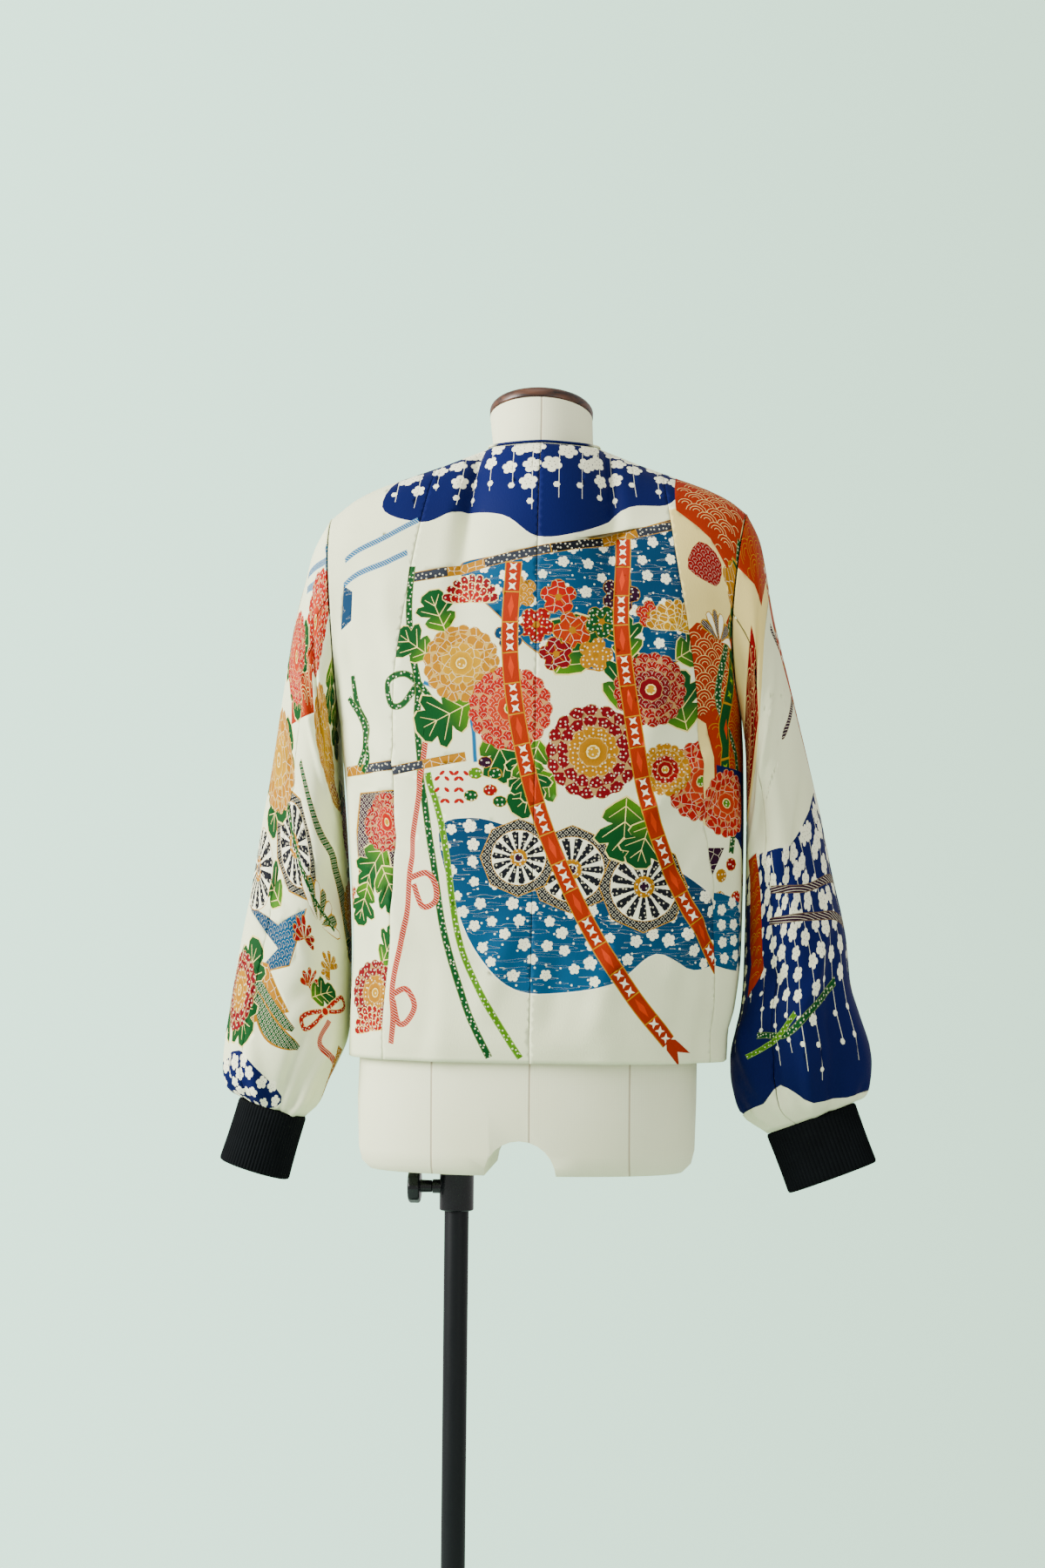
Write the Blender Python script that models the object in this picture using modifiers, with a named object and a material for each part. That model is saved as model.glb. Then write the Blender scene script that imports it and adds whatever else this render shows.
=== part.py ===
"""Kimono jacket on a limbless dress form, on a pole with a round base. Metres, +Z up, front to -Y, wearer's left to +X."""

import math

import bpy
import numpy as np

for ob in list(bpy.data.objects):
    bpy.data.objects.remove(ob, do_unlink=True)

# named sizes
WALL = 0.0015
SEAM = 0.0003
RIM_SPARE = 0.0003
UNDERARM_Z = 1.130
HEM_Z = 0.7925
FRONT_OPENING = 0.010
NECK_HALF = 0.058
NECK_BACK_Y = 0.045
NECK_BACK_Z = 1.4140
NECK_FRONT_Y = -0.098
NECK_FRONT_Z = 1.345
NECK_SIDE_Z = 1.4108
ARMHOLE_DEPTH = 0.062
ARMHOLE_CUT = 0.004
SECTION_POWER = 2.5
SLEEVE_POWER = 2.2
NECK_SHARE_BACK = 0.30
NECK_SHARE_FRONT = 0.36
BINDING_WIDTH = 0.0028
BINDING_HEIGHT = 0.0032
CUFF_WALL = 0.0020
CUFF_RIB = 0.0008
CUFF_RIBS = 66
CUFF_GAP = 0.0011
SHOULDER_GAP = 0.0007

POLE_X = 0.082
POLE_RADIUS = 0.0125
POLE_TOP = 0.930
BORE_RADIUS = 0.0135
BORE_TOP = 1.110
FORM_BOTTOM = 0.678
ARCH_HALF = 0.036
ARCH_HEIGHT = 0.036
BASE_RADIUS = 0.205
BASE_THICK = 0.012
COLLAR_RADIUS = 0.021
COLLAR_TOP = 0.046
PLATE_RADIUS = 0.0305
PLATE_THICK = 0.003
TUBE_RADIUS = 0.0175
TUBE_BOTTOM = 0.634
CLAMP_Z = 0.658
BOSS_RADIUS = 0.0072
BOSS_END = 0.1066
SCREW_RADIUS = 0.0038
SCREW_HOLE = 0.0042
CAP_TILT = 20.0

# half width of the jacket's body on each side, by height
SIDE_COLUMNS = ("z", "half_width")
SIDE_LEFT = [
    (0.7925, 0.1925), (0.813, 0.1920), (0.865, 0.1905), (0.9015, 0.1890), (1.031, 0.1955),
    (1.0765, 0.1995), (1.122, 0.2044), (1.164, 0.2075), (1.208, 0.2114), (1.304, 0.2165), (1.3385, 0.2150),
]
SIDE_RIGHT = [
    (0.7925, 0.1915), (0.820, 0.1926), (0.845, 0.1990), (0.902, 0.2050), (1.000, 0.2065),
    (1.094, 0.2055), (1.145, 0.2025), (1.180, 0.1990), (1.219, 0.1975), (1.300, 0.2020), (1.3420, 0.2055),
]
# depth of the body behind and before the side seam, and the centre-back seam's place, by height
DEPTH_COLUMNS = ("z", "back", "front", "seam_x")
DEPTHS = [
    (0.7925, 0.108, -0.116, 0.001),
    (0.812, 0.113, -0.121, 0.001),
    (0.870, 0.118, -0.127, 0.000),
    (1.000, 0.124, -0.132, -0.002),
    (1.130, 0.126, -0.134, -0.003),
    (1.250, 0.126, -0.134, -0.004),
    (1.415, 0.126, -0.134, 0.000),
]
# the shoulder seam from the neck outward, the same on both sides up to the tip
SHOULDER_COLUMNS = ("x", "y", "z")
SHOULDER = [
    (0.058, 0.000, 1.4108),
    (0.098, 0.004, 1.3945),
    (0.134, 0.008, 1.3815),
    (0.167, 0.009, 1.3695),
    (0.190, 0.009, 1.3580),
]
SHOULDER_TIP = {1: (0.2150, 0.008, 1.3385), -1: (0.2055, 0.008, 1.3460)}
# the seam between a back panel and its side panel: share of the way from the centre back to the side
PANEL_SEAM_COLUMNS = ("z", "left", "right")
PANEL_SEAM = [
    (0.7925, 0.62, 0.77),
    (0.950, 0.56, 0.70),
    (1.130, 0.53, 0.62),
    (1.400, 0.52, 0.60),
]
# soft folds of the body: side, face (1 back, -1 front), share from the centre, width, height of fold, from z, to z
BODY_FOLD_COLUMNS = ("side", "face", "share", "width", "raise", "z_low", "z_high")
BODY_FOLDS = [
    (1, 1, 0.80, 0.045, 0.0035, 0.80, 1.16),
    (1, 1, 0.66, 0.050, -0.0030, 0.84, 1.18),
    (1, 1, 0.38, 0.060, 0.0020, 0.79, 0.96),
    (-1, 1, 0.84, 0.045, 0.0040, 0.79, 1.12),
    (-1, 1, 0.70, 0.050, -0.0035, 0.79, 1.10),
    (-1, 1, 0.30, 0.060, 0.0020, 0.79, 0.93),
    (1, -1, 0.74, 0.050, 0.0035, 0.80, 1.15),
    (1, -1, 0.52, 0.060, -0.0030, 0.82, 1.10),
    (-1, -1, 0.76, 0.050, 0.0040, 0.79, 1.13),
    (-1, -1, 0.55, 0.060, -0.0030, 0.83, 1.12),
]

# sleeve sections from the armhole to the cuff: outer and inner points, half depth and middle in y
SLEEVE_COLUMNS = ("outer_x", "outer_z", "inner_x", "inner_z", "depth", "mid_y")
SLEEVE_LEFT = [
    (0.2150, 1.3385, 0.2068, 1.1300, 0.062, 0.002),
    (0.2330, 1.3080, 0.2080, 1.1060, 0.067, 0.000),
    (0.2425, 1.2740, 0.2065, 1.0760, 0.070, -0.003),
    (0.2530, 1.2330, 0.2035, 1.0400, 0.070, -0.005),
    (0.2638, 1.1680, 0.1995, 0.9920, 0.068, -0.007),
    (0.2755, 1.0880, 0.1965, 0.9440, 0.066, -0.008),
    (0.2850, 1.0320, 0.1950, 0.9080, 0.065, -0.008),
    (0.2952, 0.9660, 0.1948, 0.8720, 0.065, -0.008),
    (0.3060, 0.9090, 0.1955, 0.8430, 0.064, -0.008),
    (0.3150, 0.8540, 0.1960, 0.8190, 0.062, -0.008),
    (0.3215, 0.8110, 0.1985, 0.8040, 0.058, -0.007),
    (0.3243, 0.7800, 0.2050, 0.7880, 0.052, -0.006),
    (0.3222, 0.7640, 0.2145, 0.7680, 0.045, -0.005),
    (0.3150, 0.7530, 0.2260, 0.7430, 0.037, -0.004),
]
SLEEVE_RIGHT = [
    (0.2055, 1.3460, 0.2060, 1.1300, 0.062, 0.002),
    (0.2200, 1.3180, 0.2085, 1.1050, 0.067, 0.000),
    (0.2280, 1.2790, 0.2095, 1.0750, 0.070, -0.003),
    (0.2355, 1.2380, 0.2100, 1.0350, 0.070, -0.005),
    (0.2530, 1.1680, 0.2098, 0.9850, 0.068, -0.007),
    (0.2718, 1.0920, 0.2095, 0.9350, 0.066, -0.008),
    (0.2845, 1.0390, 0.2090, 0.9000, 0.065, -0.008),
    (0.2965, 0.9820, 0.2080, 0.8680, 0.064, -0.008),
    (0.3103, 0.9230, 0.2055, 0.8430, 0.062, -0.008),
    (0.3165, 0.8700, 0.2010, 0.8220, 0.059, -0.008),
    (0.3265, 0.8380, 0.1970, 0.8040, 0.055, -0.007),
    (0.3365, 0.8080, 0.1960, 0.7880, 0.048, -0.006),
    (0.3385, 0.7830, 0.1985, 0.7640, 0.038, -0.005),
    (0.3325, 0.7590, 0.2100, 0.7370, 0.027, -0.004),
]
# cuffs: middle of the top and bottom rings, half width and half depth of each
CUFF_COLUMNS = ("top_x", "top_z", "bottom_x", "bottom_z", "half_top", "half_bottom", "depth_top", "depth_bottom")
CUFFS = {
    1: (0.2728, 0.7360, 0.2917, 0.6720, 0.0360, 0.0374, 0.0290, 0.0300),
    -1: (0.2779, 0.7335, 0.3008, 0.6739, 0.0480, 0.0477, 0.0150, 0.0165),
}
# the seam down the back of each sleeve, in degrees round from its outer edge, by share of the sleeve's length
SLEEVE_SEAM_COLUMNS = ("share", "left", "right")
SLEEVE_SEAM = [(0.0, 78.0, 88.0), (0.30, 70.0, 100.0), (0.75, 55.0, 112.0), (1.0, 58.0, 108.0)]
SLEEVE_FRONT_SEAM = 292.0
# folds of the sleeves: side, place round in degrees, width in degrees, raise, from and to share of the length
SLEEVE_FOLD_COLUMNS = ("side", "place", "width", "raise", "low", "high")
SLEEVE_FOLDS = [
    (1, 60.0, 16.0, -0.0045, 0.20, 0.80),
    (1, 100.0, 18.0, 0.0040, 0.30, 0.95),
    (1, 130.0, 16.0, -0.0040, 0.25, 0.75),
    (1, 250.0, 18.0, -0.0040, 0.30, 0.85),
    (-1, 112.0, 16.0, -0.0060, 0.05, 0.85),
    (-1, 84.0, 18.0, 0.0040, 0.30, 0.95),
    (-1, 48.0, 16.0, -0.0035, 0.45, 0.95),
    (-1, 255.0, 18.0, -0.0040, 0.30, 0.85),
]
TUCKS = 11
TUCK_RAISE = 0.0022

# the form: rings from the stumps to the neck
FORM_COLUMNS = ("z", "half_width", "back", "front", "mid_x", "power", "tilt")
FORM = [
    (0.6780, 0.1600, 0.084, -0.080, 0.011, 2.3, 0.0),
    (0.6860, 0.1680, 0.092, -0.088, 0.011, 2.3, 0.0),
    (0.7000, 0.1715, 0.096, -0.092, 0.011, 2.3, 0.0),
    (0.7500, 0.1728, 0.100, -0.096, 0.011, 2.3, 0.0),
    (0.8000, 0.1720, 0.102, -0.098, 0.010, 2.3, 0.0),
    (0.8700, 0.1600, 0.098, -0.096, 0.009, 2.2, 0.0),
    (0.9500, 0.1380, 0.086, -0.090, 0.007, 2.2, 0.0),
    (1.0200, 0.1300, 0.080, -0.088, 0.005, 2.2, 0.0),
    (1.1000, 0.1430, 0.086, -0.100, 0.003, 2.2, 0.0),
    (1.1800, 0.1580, 0.092, -0.112, 0.002, 2.2, 0.0),
    (1.2500, 0.1700, 0.094, -0.110, 0.001, 2.2, 0.0),
    (1.3000, 0.1790, 0.086, -0.094, 0.000, 2.2, 0.0),
    (1.3300, 0.1840, 0.064, -0.074, 0.000, 2.1, 0.0),
    (1.3465, 0.1835, 0.055, -0.062, 0.000, 2.1, 0.0),
    (1.3560, 0.1780, 0.050, -0.056, 0.000, 2.1, 0.0),
    (1.3680, 0.1645, 0.046, -0.054, 0.000, 2.0, 0.0),
    (1.3794, 0.1315, 0.043, -0.056, 0.000, 2.0, 0.0),
    (1.3838, 0.0980, 0.040, -0.060, 0.000, 2.0, 0.0),
    (1.3862, 0.0740, 0.038, -0.062, 0.000, 2.0, 0.0),
    (1.3882, 0.0565, 0.036, -0.063, 0.000, 2.0, 0.0),
    (1.3930, 0.0515, 0.036, -0.065, 0.000, 2.0, 0.0),
    (1.4080, 0.0515, 0.034, -0.065, 0.001, 2.0, 5.0),
    (1.4200, 0.0515, 0.032, -0.066, 0.003, 2.0, 11.0),
    (1.4440, 0.0525, 0.031, -0.069, 0.005, 2.0, 20.0),
]
FORM_SIDES = 44
CLEAR = 0.0070
CLEAR_Z = 0.0052
# the neck's foot, which stands through the shoulders' rings
NECK_FOOT_COLUMNS = ("z", "half_width", "back", "front")
NECK_FOOT = [
    (1.3300, 0.062, 0.066, -0.080),
    (1.3560, 0.057, 0.052, -0.073),
    (1.3800, 0.0525, 0.042, -0.068),
    (1.3930, 0.0515, 0.038, -0.066),
    (1.4050, 0.0515, 0.034, -0.065),
]


def table(rows, key, column):
    """Smooth reading of a table's column at key, through monotone cubic pieces."""
    xs = np.array([r[0] for r in rows], float)
    ys = np.array([r[column] for r in rows], float)
    step = np.diff(xs)
    slope = np.diff(ys) / step
    m = np.zeros(len(xs))
    for i in range(1, len(xs) - 1):
        if slope[i - 1] * slope[i] > 0:
            m[i] = 2.0 * slope[i - 1] * slope[i] / (slope[i - 1] + slope[i])
    m[0] = slope[0]
    m[-1] = slope[-1]
    k = np.clip(np.asarray(key, float), xs[0], xs[-1])
    i = np.clip(np.searchsorted(xs, k, side="right") - 1, 0, len(xs) - 2)
    t = (k - xs[i]) / step[i]
    a = (1 + 2 * t) * (1 - t) ** 2 * ys[i] + t * (1 - t) ** 2 * step[i] * m[i]
    b = t * t * (3 - 2 * t) * ys[i + 1] + t * t * (t - 1) * step[i] * m[i + 1]
    return a + b


def smooth(a, b, x):
    """0 below a, 1 above b and a soft step between."""
    t = np.clip((np.asarray(x, float) - a) / (b - a), 0.0, 1.0)
    return t * t * (3 - 2 * t)


def half_width(side, z):
    """Half width of the jacket's body at a height."""
    return table(SIDE_LEFT if side > 0 else SIDE_RIGHT, z, 1)


def quarter(width, depth, share):
    """Points of a quarter section, by share of its length from the centre to the side."""
    t = np.linspace(0.0, math.pi / 2, 240)
    x = width * np.sin(t) ** (2.0 / SECTION_POWER)
    y = depth * np.cos(t) ** (2.0 / SECTION_POWER)
    run = np.concatenate([[0.0], np.cumsum(np.hypot(np.diff(x), np.diff(y)))])
    run /= run[-1]
    return np.interp(share, run, x), np.interp(share, run, y)


def lower(side, face, share, z):
    """A point of the body below the underarm."""
    width = float(half_width(side, z))
    depth = float(table(DEPTHS, z, 1 if face > 0 else 2))
    x, y = quarter(width, depth, share)
    x = side * x
    if face > 0:
        x = x + float(table(DEPTHS, z, 3)) * (1.0 - share) ** 2
    else:
        x = x + side * FRONT_OPENING / 2 * (1.0 - share) ** 3
    return np.array([float(x), float(y), z])


def top_row(side, face, share):
    """A point of the top edge: the neckline, then the shoulder seam."""
    neck = NECK_SHARE_BACK if face > 0 else NECK_SHARE_FRONT
    if share <= neck:
        t = share / neck * math.pi / 2
        if face > 0:
            rise = NECK_SIDE_Z - NECK_BACK_Z
            return np.array([side * NECK_HALF * math.sin(t), NECK_BACK_Y * math.cos(t), NECK_BACK_Z + rise * math.sin(t)])
        start = FRONT_OPENING / 2
        rise = (NECK_SIDE_Z - NECK_FRONT_Z) * (1.0 - math.cos(t)) ** 1.15
        return np.array([side * (start + (NECK_HALF - start) * math.sin(t)), NECK_FRONT_Y * math.cos(t), NECK_FRONT_Z + rise])
    rows = SHOULDER + [SHOULDER_TIP[side]]
    x = NECK_HALF + (rows[-1][0] - NECK_HALF) * (share - neck) / (1.0 - neck)
    return np.array([side * x, float(table(rows, x, 1)), float(table(rows, x, 2))])


def armhole(side, turn):
    """A point of the armhole seam: turn 0 at the shoulder tip, 90 behind, 180 under the arm, 270 in front."""
    a = math.radians(turn)
    tip = SHOULDER_TIP[side]
    middle = (tip[2] + UNDERARM_Z) / 2
    reach = (tip[2] - UNDERARM_Z) / 2
    z = middle + reach * math.cos(a)
    x = float(half_width(side, z)) - ARMHOLE_CUT * math.sin(a) ** 2
    y = ARMHOLE_DEPTH * math.sin(a) + tip[1] * (1 + math.cos(a)) / 2
    return np.array([side * x, y, z])


def crest_mix(face, share):
    """0 where the cloth rises to the neckline, 1 where it rolls over the shoulder seam."""
    neck = NECK_SHARE_BACK if face > 0 else NECK_SHARE_FRONT
    return float(smooth(neck - 0.08, neck + 0.11, share))


def collar_way(point):
    """Direction in which the cloth rises at a point of the neckline."""
    radial = np.array([point[0], point[1] + 0.02, 0.0])
    radial /= np.linalg.norm(radial)
    lean = 0.62 if point[1] > -0.02 else 0.62 - 0.42 * float(smooth(0.02, 0.09, -point[1]))
    way = np.array([0.0, 0.0, 1.0]) - lean * radial
    return way / np.linalg.norm(way)


def upper(side, face, share, v):
    """A point of the body above the underarm. v runs from 0 at the underarm to 1 at the top edge."""
    up = np.array([0.0, 0.0, 0.36])
    crest = np.array([0.0, -0.20 * face, 0.0])
    h0 = (1 + 2 * v) * (1 - v) ** 2
    h1 = v * (1 - v) ** 2
    h2 = v * v * (3 - 2 * v)
    h3 = v * v * (v - 1)

    def run(s):
        edge = top_row(side, face, s)
        mix = crest_mix(face, s)
        rise = collar_way(edge) + np.array([0.0, -0.55 * face, 0.0])
        end = rise / np.linalg.norm(rise) * 0.19 * (1 - mix) + crest * mix
        return h0 * lower(side, face, s, UNDERARM_Z) + h1 * up + h2 * edge + h3 * end

    turn = 180.0 * (1.0 - v)
    edge = armhole(side, turn if face > 0 else 360.0 - turn)
    weight = float(np.clip((share - 0.35) / 0.65, 0.0, 1.0)) ** 1.8
    return run(share) + weight * (edge - run(1.0))


def fold_raise(side, face, share, z):
    """How far the folds move the cloth out at a place."""
    total = 0.0
    for row in BODY_FOLDS:
        if row[0] != side or row[1] != face:
            continue
        bell = math.exp(-(((share - row[2]) / row[3]) ** 2))
        low, high = row[5], row[6]
        ends = float(smooth(low - 0.05, low + 0.06, z)) * (1.0 - float(smooth(high - 0.12, high, z)))
        if low < 0.80:
            ends = 1.0 - float(smooth(high - 0.12, high, z))
        total += row[4] * bell * ends
    return total


def body_point(side, face, share, level):
    """A point of the body: level 0 at the hem, 1 at the underarm, 2 at the top edge."""
    if level <= 1.0:
        z = HEM_Z + (UNDERARM_Z - HEM_Z) * level
        p = lower(side, face, share, z)
    else:
        p = upper(side, face, share, level - 1.0)
    out = fold_raise(side, face, share, p[2])
    if out:
        away = np.array([p[0] / 0.2**2, p[1] / 0.126**2, 0.0])
        p = p + away / np.linalg.norm(away) * out
    return p


LEVELS = [0.0, 0.055, 0.16, 0.30, 0.44, 0.58, 0.72, 0.86, 1.0, 1.14, 1.28, 1.42, 1.56, 1.70, 1.82, 1.92, 1.97, 2.0]


def panel_seam(side, z):
    return float(table(PANEL_SEAM, z, 1 if side > 0 else 2))


def seam_share(side, level):
    """Where the panel seam lies at a level, read from the height at the middle of the back."""
    z = HEM_Z + (UNDERARM_Z - HEM_Z) * min(level, 1.0) + (1.40 - UNDERARM_Z) * max(level - 1.0, 0.0)
    return panel_seam(side, z)


def spaced(start, stop, marks, count):
    """count+1 even steps from start to stop, with the nearest step moved onto each mark."""
    steps = np.linspace(start, stop, count + 1)
    for mark in marks:
        i = int(np.argmin(np.abs(steps - mark)))
        steps[i] = mark
    return steps


def body_grid(side, face, part, count):
    """Grid of a body panel: part is 'panel' or 'side' behind, 'whole' in front."""
    gap = (SEAM + RIM_SPARE) / 2 / 0.27
    columns = []
    neck = NECK_SHARE_BACK if face > 0 else NECK_SHARE_FRONT
    for level in LEVELS:
        cut = seam_share(side, level)
        if part == "panel":
            shares = spaced(gap, cut - gap, [neck], count)
        elif part == "side":
            shares = np.linspace(cut + gap, 1.0 - gap * (level <= 1.0), count + 1)
        else:
            shares = spaced(0.0, 1.0 - gap * (level <= 1.0), [neck], count)
        row = []
        for s in shares:
            spare = 1.0 + 2.6 * (1.0 - crest_mix(face, s)) * float(smooth(neck - 0.04, neck, s))
            at = 2.0 - spare * SHOULDER_GAP / 0.28 / 2 if level == 2.0 else level
            row.append(body_point(side, face, float(s), at))
        columns.append(row)
    grid = np.array(columns)
    if part == "panel":
        grid[:, 0, 0] = side * np.maximum(side * grid[:, 0, 0], -1.0)
    return grid


def sleeve_rows(side):
    """The sleeve's sections with the last one, at the cuff."""
    rows = list(SLEEVE_LEFT if side > 0 else SLEEVE_RIGHT)
    tx, tz, bx, bz, half, _, depth, _ = CUFFS[side]
    axis = np.array([tx - bx, tz - bz])
    axis /= np.linalg.norm(axis)
    across = np.array([axis[1], -axis[0]])
    middle = np.array([tx, tz]) + axis * CUFF_GAP
    reach = half - CUFF_RIB - CUFF_WALL / 2
    outer = middle + across * reach
    inner = middle - across * reach
    rows.append((outer[0], outer[1], inner[0], inner[1], depth - CUFF_RIB - CUFF_WALL / 2, -0.004))
    return rows


def spline(values, at):
    """Smooth curve through equally spaced rows of values, read at a fractional row."""
    values = np.asarray(values, float)
    i = int(min(max(math.floor(at), 0), len(values) - 2))
    t = at - i
    p0 = values[i - 1] if i > 0 else 2 * values[0] - values[1]
    p1 = values[i]
    p2 = values[i + 1]
    p3 = values[i + 2] if i + 2 < len(values) else 2 * values[-1] - values[-2]
    return 0.5 * (2 * p1 + (p2 - p0) * t + (2 * p0 - 5 * p1 + 4 * p2 - p3) * t**2 + (3 * p1 - p0 - 3 * p2 + p3) * t**3)


def ring_point(row, turn):
    """A point of a sleeve section, round from its outer edge by way of the back."""
    a = math.radians(turn)
    c = math.copysign(abs(math.cos(a)) ** (2.0 / SLEEVE_POWER), math.cos(a))
    s = math.copysign(abs(math.sin(a)) ** (2.0 / SLEEVE_POWER), math.sin(a))
    x = (row[0] + row[2]) / 2 + (row[0] - row[2]) / 2 * c
    z = (row[1] + row[3]) / 2 + (row[1] - row[3]) / 2 * c
    return np.array([x, row[5] + row[4] * s, z])


def armhole_start(side, turn):
    """The sleeve's first ring: the armhole, moved out to clear the body where the two fold together."""
    p = armhole(side, turn)
    away = abs((turn + 180.0) % 360.0 - 180.0)
    out = 0.0010 + 0.0008 * float(smooth(6.0, 26.0, away)) + 0.0005 * float(smooth(80.0, 170.0, away))
    return p + np.array([side * out, 0.0, 0.0])


def sleeve_point(side, share, turn):
    """A point of a sleeve: share 0 at the armhole and 1 at the cuff."""
    rows = sleeve_rows(side)
    line = []
    for i, row in enumerate(rows):
        p = ring_point(row, turn)
        p[0] *= side
        line.append(armhole_start(side, turn) if i == 0 else p)
    at = share * (len(rows) - 1)
    p = spline(line, at)
    row = spline(rows, at)
    middle = np.array([side * (row[0] + row[2]) / 2, row[5], (row[1] + row[3]) / 2])
    out = 0.0
    for fold in SLEEVE_FOLDS:
        if fold[0] != side:
            continue
        gap = (turn - fold[1] + 180.0) % 360.0 - 180.0
        ends = float(smooth(fold[4] - 0.12, fold[4] + 0.08, share)) * (1.0 - float(smooth(fold[5] - 0.12, fold[5], share)))
        out += fold[3] * math.exp(-((gap / fold[2]) ** 2)) * ends
    tuck = float(smooth(0.84, 0.93, share)) * (1.0 - float(smooth(0.95, 1.0, share)))
    out += TUCK_RAISE * tuck * math.sin(math.radians(turn * TUCKS))
    away = p - middle
    return p + away / np.linalg.norm(away) * out


SHARES = [0.0, 0.035, 0.09, 0.16, 0.24, 0.33, 0.42, 0.51, 0.60, 0.69, 0.77, 0.84, 0.89, 0.93, 0.965, 1.0]


def sleeve_seam(side, share):
    return float(table(SLEEVE_SEAM, share, 1 if side > 0 else 2))


def sleeve_grid(side, part, count):
    """Grid of half a sleeve: part is 'top' for the outer half and 'under' for the inner."""
    rows = []
    for share in SHARES:
        cut = sleeve_seam(side, share)
        if part == "top":
            turns = np.linspace(SLEEVE_FRONT_SEAM - 360.0, cut, count + 1)
        else:
            turns = np.linspace(cut, SLEEVE_FRONT_SEAM, count + 1)
        rows.append([sleeve_point(side, share, float(t) % 360.0) for t in turns])
    grid = np.array(rows)
    for edge, within in ((0, 1), (-1, -2)):
        run = np.gradient(grid[:, edge], axis=0)
        run /= np.linalg.norm(run, axis=1)[:, None]
        into = grid[:, within] - grid[:, edge]
        into -= run * np.sum(into * run, axis=1)[:, None]
        into /= np.linalg.norm(into, axis=1)[:, None]
        grid[:, edge] += into * (SEAM + 2 * RIM_SPARE) / 2
    return grid


collection = bpy.data.collections.new("kimono_jacket")
bpy.context.scene.collection.children.link(collection)
cutters = bpy.data.collections.new("cutters")
bpy.context.scene.collection.children.link(cutters)


def material(name, colour):
    mat = bpy.data.materials.new(name)
    mat.use_nodes = True
    shader = mat.node_tree.nodes["Principled BSDF"]
    shader.inputs["Base Color"].default_value = (*colour, 1.0)
    shader.inputs["Roughness"].default_value = 0.7
    return mat


def outward_faces(verts, faces):
    """The faces of a closed mesh, turned over if they face inward."""
    points = np.array([[float(c) for c in v] for v in verts])
    total = 0.0
    for face in faces:
        a = points[face[0]]
        for i in range(1, len(face) - 1):
            total += float(np.dot(a, np.cross(points[face[i]], points[face[i + 1]])))
    return faces if total > 0 else [tuple(reversed(face)) for face in faces]


def add(name, verts, faces, colour, home=collection):
    """Mesh object with its own material."""
    mesh = bpy.data.meshes.new(name)
    mesh.from_pydata([tuple(float(c) for c in v) for v in verts], [], faces)
    mesh.update()
    ob = bpy.data.objects.new(name, mesh)
    home.objects.link(ob)
    if home is collection:
        mesh.materials.append(material(name + "_mat", colour))
    return ob


def sheet(name, grid, colour, flip=False):
    """Cloth piece: the open surface of a grid, given its wall by Solidify."""
    rows, cols = grid.shape[:2]
    faces = []
    for i in range(rows - 1):
        for j in range(cols - 1):
            a = i * cols + j
            quad = (a, a + 1, a + cols + 1, a + cols)
            faces.append(quad[::-1] if flip else quad)
    ob = add(name, grid.reshape(-1, 3), faces, colour)
    wall = ob.modifiers.new("Wall", "SOLIDIFY")
    wall.thickness = WALL
    wall.offset = 0.0
    wall.use_rim = True
    return ob


def loft(name, rings, colour, home=collection):
    """Closed solid through rings of points, with flat ends."""
    count = len(rings[0])
    verts = [p for ring in rings for p in ring]
    faces = []
    for i in range(len(rings) - 1):
        for j in range(count):
            k = (j + 1) % count
            faces.append((i * count + j, i * count + k, (i + 1) * count + k, (i + 1) * count + j))
    faces.append(tuple(reversed(range(count))))
    faces.append(tuple(range((len(rings) - 1) * count, len(rings) * count)))
    return add(name, verts, outward_faces(verts, faces), colour, home)


def turned(name, profile, sides, colour, home=collection, origin=(0, 0, 0), along="z"):
    """Closed solid turned from (radius, height) rows, about an upright axis or one along x."""
    rings = []
    for radius, height in profile:
        ring = []
        for j in range(sides):
            a = 2 * math.pi * j / sides
            p = (radius * math.cos(a), radius * math.sin(a), height)
            if along == "x":
                p = (p[2], p[0], p[1])
            ring.append((p[0] + origin[0], p[1] + origin[1], p[2] + origin[2]))
        rings.append(ring)
    return loft(name, rings, colour, home)


def cut(ob, cutter, name):
    """Exact difference of a closed cutter from an object."""
    cutter.hide_render = True
    cutter.display_type = "WIRE"
    tool = ob.modifiers.new(name, "BOOLEAN")
    tool.operation = "DIFFERENCE"
    tool.solver = "EXACT"
    tool.object = cutter


CREAM = (0.83, 0.80, 0.72)
BLUE = (0.02, 0.05, 0.25)
KNIT = (0.013, 0.016, 0.02)
LINEN = (0.76, 0.73, 0.62)
WALNUT = (0.12, 0.05, 0.025)
STEEL = (0.015, 0.02, 0.024)
PLASTIC = (0.01, 0.01, 0.012)

# body panels
for side, word in ((1, "left"), (-1, "right")):
    sheet("back_" + word, body_grid(side, 1, "panel", 10), CREAM, flip=side < 0)
    sheet("back_side_" + word, body_grid(side, 1, "side", 6), CREAM, flip=side < 0)
    sheet("front_" + word, body_grid(side, -1, "whole", 13), CREAM, flip=side > 0)
    sheet("sleeve_top_" + word, sleeve_grid(side, "top", 15), CREAM, flip=side > 0)
    sheet("sleeve_under_" + word, sleeve_grid(side, "under", 20), BLUE, flip=side > 0)


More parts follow.
